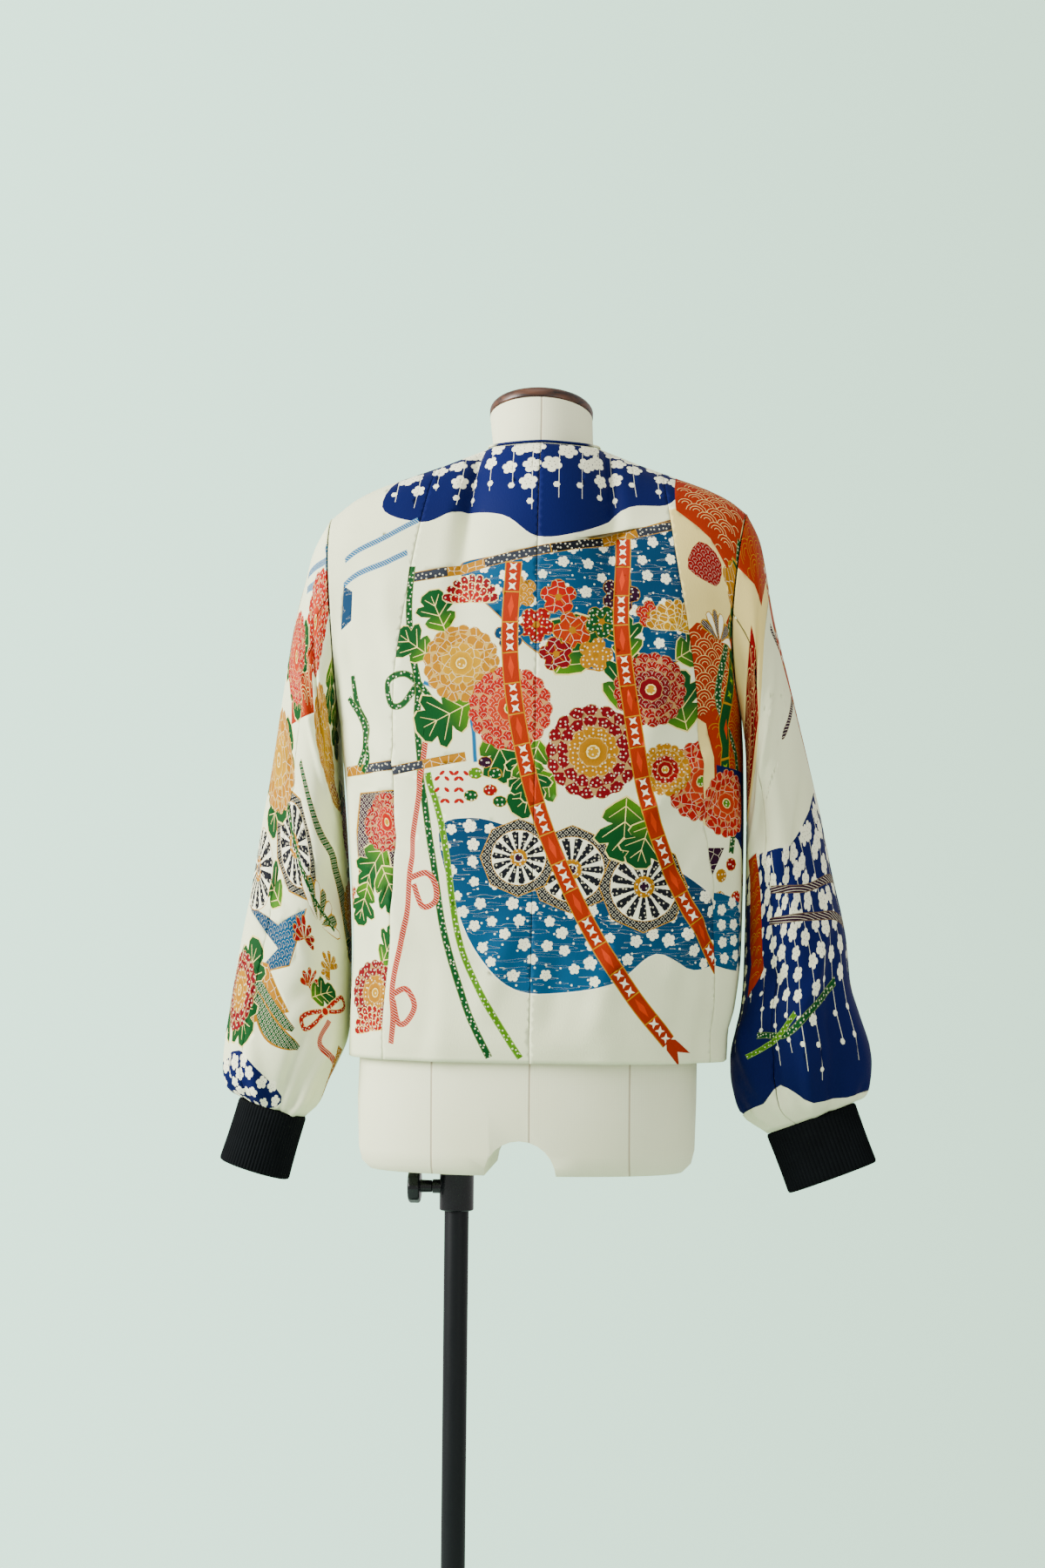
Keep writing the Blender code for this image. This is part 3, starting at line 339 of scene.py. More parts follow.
def normals_of(grid, outward):
    n = np.cross(np.gradient(grid, axis=1), np.gradient(grid, axis=0))
    n /= np.linalg.norm(n, axis=2)[:, :, None] + 1e-12
    flip = np.sign(np.sum(n * outward(grid)))
    return n * flip


def creased(grid, flat, outward, creases):
    """The grid moved along its normals by soft ridges (raise > 0) and troughs along short lines of the flat map."""
    raised = np.zeros(grid.shape[:2])
    for u0, v0, u1, v1, width, lift in creases:
        a, d = np.array([u0, v0]), np.array([u1 - u0, v1 - v0])
        length = float(np.hypot(*d))
        rel = flat - a
        t = (rel @ d) / length**2
        side = (rel[:, :, 0] * d[1] - rel[:, :, 1] * d[0]) / length
        bow = side + 0.10 * length * (t - 0.5) ** 2
        taper = smooth(-0.15, 0.25, t) * (1.0 - smooth(0.70, 1.15, t))
        raised += CREASE_GAIN * lift * np.exp(-((bow / width) ** 2)) * taper
    return grid + normals_of(grid, outward) * raised[:, :, None]


class Cloth:
    """A stretch of cloth: a fine grid in space, its flat map, and the way from one to the other."""

    def __init__(self, grid, flat, outward, creases):
        self.flat = flat
        self.grid = creased(grid, flat, outward, creases)
        self.outward = outward
        rows, cols = flat.shape[:2]
        quads = [(i * cols + j, i * cols + j + 1, (i + 1) * cols + j + 1, (i + 1) * cols + j)
                 for i in range(rows - 1) for j in range(cols - 1)]
        self.tris = [t for q in quads for t in ((q[0], q[1], q[2]), (q[0], q[2], q[3]))]
        self.flat_points = [Vector((p[0], p[1], 0.0)) for p in flat.reshape(-1, 2)]
        self.space_points = [Vector(p) for p in self.grid.reshape(-1, 3)]
        self.tree = BVHTree.FromPolygons(self.flat_points, self.tris)

    def lift(self, points):
        """Flat places taken to space."""
        found = []
        for p in points:
            spot, _, index, _ = self.tree.ray_cast(Vector((p[0], p[1], 1.0)), Vector((0.0, 0.0, -1.0)))
            if index is None:
                spot, _, index, _ = self.tree.find_nearest(Vector((p[0], p[1], 0.0)))
            corners = self.tris[index]
            source = [self.flat_points[k] for k in corners]
            target = [self.space_points[k] for k in corners]
            found.append(barycentric_transform(spot, *source, *target))
        return np.array([tuple(q) for q in found])

    def at(self, x, z):
        """Flat place of the point that is seen from straight behind or before at x and z."""
        away = (self.grid[:, :, 0] - x) ** 2 + (self.grid[:, :, 2] - z) ** 2
        i, j = np.unravel_index(int(np.argmin(away)), away.shape)
        return self.flat[i, j] + 0.0

    def place(self, row, column):
        """Flat place by fractional row and column of the grid."""
        i, j = min(int(row), self.flat.shape[0] - 2), min(int(column), self.flat.shape[1] - 2)
        a, b = row - i, column - j
        f = self.flat
        return (f[i, j] * (1 - a) * (1 - b) + f[i + 1, j] * a * (1 - b) + f[i, j + 1] * (1 - a) * b
                + f[i + 1, j + 1] * a * b)


def outward_body(grid):
    return grid / (0.2**2, 0.126**2, 1.0) * (1.0, 1.0, 0.0)


LEVELS = np.concatenate([np.linspace(0.0, 1.0, 62), np.linspace(1.0, 2.0, 74)[1:]])
SHARES = np.linspace(0.0, 1.0, 57)
# u0, v0, u1, v1 of the flat map in metres, half width and raise; u runs to the image's right, v up from the hem
BODY_CREASES = {
    (1, 1): [(-0.200, 0.330, -0.085, 0.265, 0.009, 0.0030), (-0.215, 0.285, -0.110, 0.190, 0.010, -0.0032),
             (-0.205, 0.235, -0.125, 0.115, 0.011, 0.0030), (-0.050, 0.045, -0.015, 0.150, 0.014, 0.0022),
             (-0.150, 0.020, -0.135, 0.140, 0.012, 0.0026), (-0.105, 0.010, -0.100, 0.110, 0.012, -0.0020),
             (-0.170, 0.480, -0.120, 0.330, 0.014, 0.0022), (-0.215, 0.420, -0.165, 0.300, 0.010, -0.0026)],
    (-1, 1): [(0.205, 0.330, 0.100, 0.245, 0.010, 0.0034), (0.215, 0.290, 0.120, 0.170, 0.010, -0.0034),
              (0.200, 0.210, 0.140, 0.090, 0.012, 0.0032), (0.060, 0.020, 0.085, 0.130, 0.014, 0.0024),
              (0.150, 0.015, 0.160, 0.120, 0.011, -0.0028), (0.110, 0.300, 0.150, 0.480, 0.014, 0.0024),
              (0.170, 0.310, 0.205, 0.470, 0.010, -0.0026), (0.020, 0.030, 0.030, 0.120, 0.013, -0.0018)],
    (1, -1): [(0.200, 0.325, 0.095, 0.250, 0.010, 0.0032), (0.205, 0.275, 0.110, 0.150, 0.011, -0.0032),
              (0.060, 0.020, 0.075, 0.160, 0.013, 0.0024), (0.130, 0.010, 0.140, 0.120, 0.012, -0.0024),
              (0.150, 0.330, 0.110, 0.490, 0.014, 0.0024)],
    (-1, -1): [(-0.200, 0.330, -0.100, 0.240, 0.010, 0.0030), (-0.205, 0.270, -0.120, 0.140, 0.011, -0.0034),
               (-0.055, 0.030, -0.080, 0.170, 0.013, 0.0024), (-0.140, 0.010, -0.135, 0.130, 0.012, -0.0026),
               (-0.145, 0.340, -0.115, 0.480, 0.014, 0.0022)],
}
body = {}
for side in (1, -1):
    for face in (1, -1):
        grid = np.array([body_row(side, face, SHARES, float(level)) for level in LEVELS])
        flat = flat_map(grid, 0, -side * face, 1.0)
        body[side, face] = Cloth(grid, flat, outward_body, BODY_CREASES[side, face])
print("body maps", {key: cloth.flat.shape[:2] for key, cloth in body.items()})

# %% Flat maps of the sleeves
SLEEVE_SHARES = np.linspace(0.0, 1.0, 150)
SLEEVE_TURNS = np.linspace(FRONT_SEAM - 360.0, FRONT_SEAM, 121)
# u runs to the image's right from the sleeve's back, v down from the armhole is negative
SLEEVE_CREASES = {
    1: [(-0.075, -0.040, 0.075, -0.085, 0.010, -0.0032), (-0.085, -0.085, 0.080, -0.135, 0.009, 0.0030),
        (-0.080, -0.180, 0.020, -0.215, 0.009, -0.0028), (0.080, -0.165, -0.010, -0.260, 0.010, 0.0032),
        (-0.085, -0.290, 0.030, -0.335, 0.010, 0.0028), (0.085, -0.310, 0.000, -0.390, 0.010, -0.0034),
        (-0.060, -0.380, -0.020, -0.500, 0.011, 0.0036), (0.030, -0.400, 0.020, -0.510, 0.009, -0.0034),
        (0.075, -0.420, 0.055, -0.520, 0.009, 0.0034), (-0.100, -0.420, -0.080, -0.520, 0.010, -0.0030)],
    -1: [(0.060, -0.050, -0.080, -0.090, 0.010, -0.0030), (0.080, -0.120, -0.070, -0.160, 0.010, 0.0030),
         (-0.075, -0.170, 0.015, -0.270, 0.011, 0.0036), (0.085, -0.230, 0.000, -0.290, 0.009, -0.0030),
         (-0.080, -0.300, 0.000, -0.390, 0.011, -0.0036), (0.085, -0.330, 0.020, -0.400, 0.010, 0.0030),
         (0.060, -0.400, 0.050, -0.520, 0.011, -0.0034), (0.010, -0.400, 0.015, -0.520, 0.010, 0.0036),
         (-0.050, -0.400, -0.025, -0.510, 0.009, -0.0034), (-0.090, -0.390, -0.060, -0.500, 0.010, 0.0030)],
}
sleeves = {}
for side in (1, -1):
    turns = SLEEVE_TURNS % 360.0
    grid = np.array([sleeve_row(side, turns, float(share)) for share in SLEEVE_SHARES])
    back = int(np.argmin(np.abs(SLEEVE_TURNS - 90.0)))
    flat = flat_map(grid, back, side, -1.0)
    # rows stay level on the flat map, and below the widest row the cloth keeps its width: the cuff gathers it
    flat[:, :, 1] = flat[:, back, 1][:, None]
    wide = np.ptp(flat[:, :, 0], axis=1)
    flat[:, :, 0] *= (np.maximum(wide, WIDTH_KEPT * np.maximum.accumulate(wide)) / wide)[:, None]
    middle = grid.mean(axis=1, keepdims=True)
    sleeves[side] = Cloth(grid, flat, lambda g, m=middle: g - m, SLEEVE_CREASES[side])
print("sleeve lengths", [round(float(-s.flat[-1, back, 1]), 3) for s in sleeves.values()])

# %% [markdown]
# ## The dyer's colours and motifs
# Yuzen is painted by hand inside thin lines of resist, which stay pale or are gilded. So every motif here is a few
# flat outlines: a slightly larger one in the line's colour, then the painted shape on top. The motifs are the common
# ones of such silk: plum blossom, chrysanthemum, leaves, ribbons, cords, wheels, waves and clouds. Each is drawn by a
# function from a centre and a size, so no two need be the same.

# %% Colours
def linear(code):
    """sRGB hex to linear red, green and blue."""
    parts = [int(code[i : i + 2], 16) / 255.0 for i in (1, 3, 5)]
    return np.array([c / 12.92 if c <= 0.04045 else ((c + 0.055) / 1.055) ** 2.4 for c in parts])


# the dyes are deeper here than they look in the picture, because the display lifts and greys strong colours
CREAM, WHITE, GOLD = linear("#E2E7BC"), linear("#EEEECB"), linear("#A8780E")
ROYAL, DEEP, SKY = linear("#040E42"), linear("#04304E"), linear("#034466")
LEAF_DARK, LEAF_LIGHT, LIME = linear("#063F16"), linear("#41700A"), linear("#7C9A06")
ORANGE, RED, CRIMSON = linear("#902404"), linear("#7C0306"), linear("#66020C")
CORAL, PINK = linear("#940C06"), linear("#A42A0E")
OCHRE, YELLOW = linear("#986400"), linear("#A87A00")
PURPLE, CHARCOAL, SLATE = linear("#24061E"), linear("#101218"), linear("#2A2E36")
BEIGE, AZURE = linear("#E0CC7C"), linear("#085A82")
PLAIN, DOTS, WAVES, CRACKLE, KANOKO, WATER, STRIPES = range(7)


def even(colour):
    return lambda p: np.broadcast_to(colour, (len(p), 3))


def radial(inner, outer, centre, radius):
    centre = np.array(centre)
    return lambda p: inner + (outer - inner) * smooth(0.15, 1.0, np.linalg.norm(p - centre, axis=1) / radius)[:, None]


def across(start, end, a, b):
    a, b = np.array(a), np.array(b)
    return lambda p: start + (end - start) * smooth(0.0, 1.0, (p - a) @ (b - a) / ((b - a) @ (b - a)))[:, None]


class Print:
    """Outlines on a flat map, painted in the order in which they are added."""

    def __init__(self, ground=CREAM):
        self.shapes = []
        self.ground = ground

    def paint(self, outline, colour, kind=PLAIN):
        outline = np.asarray(outline, float)
        area = np.sum(outline[:, 0] * np.roll(outline[:, 1], -1) - np.roll(outline[:, 0], -1) * outline[:, 1])
        self.shapes.append((outline if area > 0 else outline[::-1], colour if callable(colour) else even(colour), kind))


def turned(points, centre, angle=0.0, scale=1.0):
    a = math.radians(angle)
    turn = np.array([[math.cos(a), math.sin(a)], [-math.sin(a), math.cos(a)]])
    return np.asarray(points, float) @ turn * scale + np.asarray(centre)


def disc(centre, radius, count=14, squash=1.0, angle=0.0):
    t = np.linspace(0, 2 * math.pi, count, endpoint=False)
    return turned(np.stack([np.cos(t), np.sin(t) * squash], axis=1), centre, angle, radius)


def lobed(centre, radius, petals, depth=0.30, steps=5, angle=0.0):
    """Round outline of equal lobes, as of a blossom."""
    t = np.linspace(0, 2 * math.pi, petals * steps, endpoint=False)
    bulge = np.abs(np.sin(petals * t / 2.0)) ** 0.6
    r = 1.0 - depth + depth * bulge
    return turned(np.stack([np.cos(t) * r, np.sin(t) * r], axis=1), centre, angle, radius)


def curve(points, steps=6, closed=False):
    """Smooth curve through a few points."""
    p = np.asarray(points, float)
    n = len(p)
    out = []
    for i in range(n if closed else n - 1):
        if closed:
            a, b, c, d = p[(i - 1) % n], p[i], p[(i + 1) % n], p[(i + 2) % n]
        else:
            b, c = p[i], p[i + 1]
            a = p[i - 1] if i else 2 * b - c
            d = p[i + 2] if i + 2 < n else 2 * c - b
        for k in range(steps):
            t = k / steps
            out.append(0.5 * (2 * b + (c - a) * t + (2 * a - 5 * b + 4 * c - d) * t * t
                + (3 * b - a - 3 * c + d) * t**3))
    if not closed:
        out.append(p[-1])
    return np.array(out)


def strip(line, width, taper=None):
    """Outline of a band along a line; taper scales its width along the way."""
    run = np.gradient(line, axis=0)
    run /= np.linalg.norm(run, axis=1)[:, None] + 1e-12
    side = np.stack([-run[:, 1], run[:, 0]], axis=1) * width / 2
    if taper is not None:
        side = side * np.asarray(taper)[:, None]
    return np.concatenate([line + side, (line - side)[::-1]])


print("motif tools ready")

# %% [markdown]
# Flowers first. A plum blossom is five lobes round a dot. A chrysanthemum is drawn ring by ring from its rim to its
# heart: a scalloped disc in the line's colour, and on it petals with a thin gap between them.

# %% Flowers and leaves
LINE = 0.0007      # metres, the resist line
WAVE_ROW = 0.72    # rise from one row of wave arcs to the next, in radii


def plum(art, centre, radius, colour, kind=PLAIN, angle=0.0, heart=OCHRE, line=GOLD):
    art.paint(lobed(centre, radius + LINE, 5, 0.30, 5, angle), line)
    art.paint(lobed(centre, radius, 5, 0.32, 5, angle), colour, kind)
    if radius > 0.009:
        for k in range(5):
            a = math.radians(angle + 72 * k + 36)
            ray = np.array([[radius * 0.14, 0.0], [radius * 0.60, 0.0]])
            art.paint(strip(turned(ray, centre, math.degrees(a)), 0.0006), line)
        art.paint(disc(centre, radius * 0.20, 8), heart)


def white_plum(art, centre, radius, angle=0.0):
    art.paint(lobed(centre, radius, 5, 0.30, 5, angle), WHITE)
    for k in range(5):
        spot = turned([(radius * 0.34, 0.0)], centre, angle + 72 * k + 36)[0]
        art.paint(disc(spot, radius * 0.07, 4), SLATE)


def petal(centre, angle, near, far, width):
    """Rounded wedge that points away from a centre."""
    shape = [(near, 0.0), (near + (far - near) * 0.45, width * 0.36), (near + (far - near) * 0.80, width * 0.5),
             (far - width * 0.10, width * 0.30), (far, 0.0), (far - width * 0.10, -width * 0.30),
             (near + (far - near) * 0.80, -width * 0.5), (near + (far - near) * 0.45, -width * 0.36)]
    return turned(shape, centre, angle)


def chrysanthemum(art, centre, radius, rim, core, heart, kind=PLAIN, petals=17, rings=4, angle=0.0, line=BEIGE):
    centre = np.array(centre)
    for ring in range(rings):
        far = radius * (1.0 - 0.23 * ring)
        near = radius * max(0.70 - 0.25 * ring, 0.05)
        count = max(petals - 3 * ring, 6)
        start = angle + ring * 180.0 / count
        colour = rim if ring < rings / 2 else core
        edge = lobed(centre, far + LINE, count, 0.10, 4, start)
        art.paint(edge, line * 0.35 + colour * 0.65)
        for k in range(count):
            lean = 4.0 * math.sin(k * 2.7 + ring)
            outline = petal(centre, start + 360.0 / count * k + 180.0 / count + lean * 0.3, near, far,
                2 * math.pi * far * 0.95 / count)
            art.paint(outline, radial(colour * 0.72, colour * 1.12, centre, far), kind if ring < rings - 1 else PLAIN)
    art.paint(disc(centre, radius * 0.15, 10), line)
    art.paint(disc(centre, radius * 0.12, 10), heart, DOTS)


def half_flower(art, centre, radius, rim, core, angle=0.0, kind=DOTS, line=BEIGE):
    """A chrysanthemum seen from the side: a fan of petals."""
    for layer, (reach, count) in enumerate(((1.0, 9), (0.72, 7), (0.45, 5))):
        for k in range(count):
            turn = angle + 180.0 * (k + 0.5) / count
            wide = math.pi * radius * reach / count
            art.paint(petal(centre, turn, 0.0, radius * reach + LINE, wide * 1.06), line)
            art.paint(petal(centre, turn, radius * 0.04, radius * reach, wide * 0.86),
                      radial(core, rim, centre, radius), kind)


LEAF_HALF = [(0.0, 0.0), (0.10, 0.16), (0.22, 0.30), (0.34, 0.34), (0.40, 0.26), (0.42, 0.18), (0.52, 0.36),
             (0.66, 0.44), (0.74, 0.36), (0.72, 0.22), (0.84, 0.26), (0.94, 0.20), (1.0, 0.0)]


def leaf(art, centre, length, angle, dark=LEAF_DARK, light=LEAF_LIGHT, wide=1.0, line=BEIGE):
    """Lobed chrysanthemum leaf, from its stalk end."""
    half = np.array(LEAF_HALF) * (1.0, wide)
    outline = np.concatenate([half, (half[1:-1] * (1.0, -1.0))[::-1]])
    art.paint(turned((outline - (0.5, 0)) * 1.06 + (0.5, 0), centre, angle, length), line)
    tip = turned([(1.0, 0.0)], centre, angle, length)[0]
    art.paint(turned(outline, centre, angle, length), across(light, dark, centre,
        np.asarray(centre) * 0.45 + tip * 0.55))
    veins = [((0.02, 0), (0.86, 0)), ((0.14, 0), (0.33, 0.24 * wide)), ((0.14, 0), (0.33, -0.24 * wide)),
             ((0.38, 0), (0.64, 0.32 * wide)), ((0.38, 0), (0.64, -0.32 * wide)), ((0.62, 0), (0.84, 0.16 * wide)),
             ((0.62, 0), (0.84, -0.16 * wide))]
    for a, b in veins:
        art.paint(strip(turned([a, b], centre, angle, length), 0.0008, [1.2, 0.6]), line)


# %% [markdown]
# Ribbons, cords, bars and wheels run through the flowers. A ribbon changes its pattern at even steps along its line,
# so its outline is cut there, and each step gets its own colour.

# %% Ribbons, cords, bars, wheels, clouds
def ribbon(art, points, width, step=0.030, main=ORANGE, pale=WHITE, tail=True, edge=GOLD):
    line = curve(points, 8)
    run = np.concatenate([[0.0], np.cumsum(np.linalg.norm(np.diff(line, axis=0), axis=1))])
    art.paint(strip(line, width + 3 * LINE), edge)
    count = max(int(run[-1] / step), 1)
    for k in range(count):
        marks = np.linspace(run[-1] * k / count, run[-1] * (k + 1) / count, 6)
        part = np.stack([np.interp(marks, run, line[:, c]) for c in (0, 1)], axis=1)
        art.paint(strip(part, width), main)
        way = part[-1] - part[0]
        angle = math.degrees(math.atan2(way[1], way[0]))
        if k % 2 == 0:
            for t in (0.17, 0.50, 0.83):
                spot = part[0] + way * t
                for turn in (0, 90):
                    lens = [(-0.42, 0), (0, 0.15), (0.42, 0), (0, -0.15)]
                    art.paint(turned(lens, spot, angle + 45 + turn, width * 0.86), pale)
            art.paint(strip(np.array([part[0], part[0] + way * 0.04]), width), edge)
        else:
            art.paint(strip(np.array([part[0], part[0] + way * 0.04]), width), edge)
            lens = [(-0.8, 0), (0, 0.20), (0.8, 0), (0, -0.20)]
            art.paint(turned(lens, part[0] + way * 0.5, angle, width), linear("#B83208"))


def cord(art, points, width, colour, kind=DOTS, edge=None, steps=7):
    line = curve(points, steps)
    edge = colour * 1.5 + BEIGE * 0.12 if edge is None else edge
    art.paint(strip(line, width + 2.4 * LINE), edge)
    art.paint(strip(line, width), colour, kind)


def bow(art, centre, size, angle, width, colour, edge=BEIGE):
    """Two loops of cord tied at a centre."""
    for sign in (1, -1):
        loop = [(0, 0), (0.55, 0.34 * sign), (1.0, 0.50 * sign), (1.12, 0.10 * sign), (0.70, -0.04 * sign), (0, 0)]
        cord(art, turned(np.array(loop) * (sign, 1), centre, angle, size), width, colour, DOTS, edge)
    art.paint(disc(centre, width * 1.2, 8), edge)
    art.paint(disc(centre, width * 0.9, 8), colour)


def bar(art, a, b, width, parts):
    a, b = np.array(a), np.array(b)
    art.paint(strip(np.array([a, b]), width + 2 * LINE), GOLD)
    total = sum(p[0] for p in parts)
    done = 0.0
    for share, colour, kind in parts:
        p = a + (b - a) * done / total
        q = a + (b - a) * (done + share * 0.985) / total
        art.paint(strip(np.array([p, q]), width), colour, kind)
        done += share


def wheel(art, centre, radius, spokes=14, angle=0.0):
    art.paint(disc(centre, radius + LINE, 28), GOLD)
    art.paint(disc(centre, radius, 28), WHITE)
    for k in range(spokes):
        a0 = angle + 360.0 / spokes * k
        wedge = [(radius * 0.30, -radius * 0.045), (radius * 0.93, -radius * 0.13), (radius * 0.99, 0.0),
                 (radius * 0.93, radius * 0.13), (radius * 0.30, radius * 0.045)]
        art.paint(turned(wedge, centre, a0), CHARCOAL, DOTS)
    for share, colour, kind in ((0.32, GOLD, PLAIN), (0.29, OCHRE, DOTS), (0.17, WHITE, PLAIN), (0.14, PURPLE, DOTS)):
        art.paint(disc(centre, radius * share, 12), colour, kind)


def cloud(art, points, colour, kind=PLAIN, line=WHITE, steps=6):
    outline = curve(points, steps, closed=True)
    middle = outline.mean(axis=0)
    away = outline - middle
    art.paint(outline + away / np.linalg.norm(away, axis=1)[:, None] * 2 * LINE, line)
    art.paint(outline, colour, kind)
    return outline


def inside(outline, p):
    x, y = outline[:, 0], outline[:, 1]
    nx, ny = np.roll(x, -1), np.roll(y, -1)
    hit = ((y > p[1]) != (ny > p[1])) & (p[0] < (nx - x) * (p[1] - y) / (ny - y + 1e-12) + x)
    return bool(np.sum(hit) % 2)


def scatter(outline, spacing, margin, rng):
    """Uneven places inside an outline, no two nearer than the spacing."""
    low, high = outline.min(axis=0), outline.max(axis=0)
    places = []
    for _ in range(1500):
        p = np.array([rng.uniform(low[0], high[0]), rng.uniform(low[1], high[1])])
        if not inside(outline, p) or np.min(np.linalg.norm(outline - p, axis=1)) < margin:
            continue
        if all(np.linalg.norm(p - q) > spacing for q in places):
            places.append(p)
    return places


def plum_stems(art, outline, rng, step=0.019, size=0.0072, fade=0.5):
    """Weeping plum: thin stems that hang from the top of a cloud, with blossoms that thin out to buds."""
    low, high = outline.min(axis=0), outline.max(axis=0)
    u = low[0] + step * 0.6
    while u < high[0]:
        column = [v for v in np.linspace(high[1], low[1], 90) if inside(outline, (u, v))]
        if len(column) > 4:
            top, reach = column[0], (column[0] - column[-1]) * rng.uniform(0.55, 0.92)
            art.paint(strip(np.array([[u, top], [u + 0.001, top - reach]]), 0.0006), WHITE)
            v = top - rng.uniform(0.004, 0.010)
            while v > top - reach:
                small = (top - v) / reach
                p = (u + rng.uniform(-0.55, 0.55) * step * (1 - small), v)
                if inside(outline, p):
                    if small < 0.72:
                        white_plum(art, p, size * (1.05 - 0.35 * small) * rng.uniform(0.85, 1.1), rng.uniform(0, 72))
                    else:
                        art.paint(disc(p, size * 0.34, 6), WHITE)
                v -= size * (1.9 + 1.5 * small * fade) * rng.uniform(0.9, 1.25)
        u += step * rng.uniform(0.85, 1.15)


def waves(art, outline, radius, colour, line):
    """Rows of wave arcs over a painted field: thin arcs inside the outline."""
    art.paint(outline, colour)
    low, high = outline.min(axis=0), outline.max(axis=0)
    v, row = low[1], 0
    while v < high[1] + radius:
        u = low[0] + radius * (row % 2)
        while u < high[0] + radius:
            for share in (1.0, 0.66, 0.33):
                t = np.linspace(0.12, math.pi - 0.12, 7)
                arc = np.stack([u + radius * share * np.cos(t), v + radius * share * np.sin(t) * 0.8], axis=1)
                if all(inside(outline, p) for p in arc):
                    art.paint(strip(arc, 0.0006), line)
            u += 2 * radius
        v += radius * WAVE_ROW
        row += 1


print("motifs:", ", ".join(f.__name__ for f in (plum, chrysanthemum, half_flower, leaf, ribbon, cord, bow, bar, wheel,
    cloud)))

# %% [markdown]
# ## The print, laid out
# The silk is cut from a kimono, so the picture runs over the two back panels and breaks at the side seams. Places are
# in millimetres as seen from straight behind: to the right of the centre seam, and up from the hem. The layout is made
# for this jacket, with the kinds of motif, the colours and the scale of such silk.

# %% Where a place lies on the cloth
def behind(right, up):
    """Flat place on the back of the body, from millimetres seen from behind."""
    side = 1 if right < 0 else -1
    return body[side, 1].at(-right / 1000.0, HEM_Z + up / 1000.0)


def before(right, up):
    """Flat place on the front of the body, from millimetres seen from the front."""
    side = -1 if right < 0 else 1
    return body[side, -1].at(right / 1000.0, HEM_Z + up / 1000.0)


BACK_COLUMNS = np.flatnonzero((SLEEVE_TURNS > 2) & (SLEEVE_TURNS < 178))


def on_sleeve(side, right, up):
    """Flat place on the back of a sleeve, from millimetres seen from behind."""
    cloth = sleeves[side]
    part = cloth.grid[:, BACK_COLUMNS]
    away = (part[:, :, 0] + right / 1000.0) ** 2 + (part[:, :, 2] - HEM_Z - up / 1000.0) ** 2
    i, j = np.unravel_index(int(np.argmin(away)), away.shape)
    return cloth.flat[i, BACK_COLUMNS[j]] + 0.0


def many(place, points):
    return np.array([place(*p) for p in points])


# %% Clouds, curtain and river of the back
rng = random.Random(7)
back_art = Print()
side_art = {1: Print(), -1: Print()}
NECK_CLOUD = [(-158, 556), (-140, 604), (-96, 640), (-40, 655), (40, 655), (96, 640), (128, 614), (150, 588),
              (132, 560), (92, 556), (48, 532), (4, 526), (-34, 546), (-78, 552), (-118, 538)]
for art in (back_art, side_art[1], side_art[-1]):
    outline = cloud(art, many(behind, NECK_CLOUD), radial(ROYAL * 1.15, ROYAL, behind(0, 600), 0.15))
    plum_stems(art, outline, random.Random(11), 0.0235, 0.0108, 0.2)
CURTAIN = [(-78, 494), (-20, 508), (84, 529), (168, 544), (174, 486), (166, 424), (128, 398), (60, 392), (6, 404),
           (-30, 440)]
curtain = cloud(back_art, many(behind, CURTAIN), across(SKY, DEEP, behind(-40, 420), behind(150, 540)), WATER, GOLD, 5)
for p in scatter(curtain, 0.0165, 0.006, rng):
    white_plum(back_art, p, rng.uniform(0.0050, 0.0068), rng.uniform(0, 72))
for p in scatter(curtain, 0.011, 0.004, rng):
    back_art.paint(disc(p, 0.0011, 5), WHITE)
RIVER = [(-92, 226), (-60, 246), (-12, 232), (34, 214), (90, 214), (140, 192), (178, 160), (190, 112), (160, 92),
         (124, 108), (84, 84), (40, 72), (-8, 72), (-40, 96), (-66, 138)]
river = cloud(back_art, many(behind, RIVER), across(DEEP, SKY, behind(60, 220), behind(20, 80)), WATER, WHITE, 5)
for p in scatter(river, 0.0165, 0.006, rng):
    white_plum(back_art, p, rng.uniform(0.0052, 0.0072), rng.uniform(0, 72))
for p in scatter(river, 0.011, 0.004, rng):
    back_art.paint(disc(p, 0.0012, 5), WHITE)
print("back print so far", len(back_art.shapes), "outlines")

# %% Bar, cords and wheels of the back
PARTS = [(3, OCHRE, CRACKLE), (4, SLATE, DOTS), (3, OCHRE, CRACKLE), (5, SLATE, DOTS), (4, CHARCOAL, DOTS),
         (3, OCHRE, CRACKLE), (4, SLATE, DOTS), (3, OCHRE, CRACKLE)]
bar(back_art, behind(-176, 468), behind(176, 542), 0.0088, PARTS)
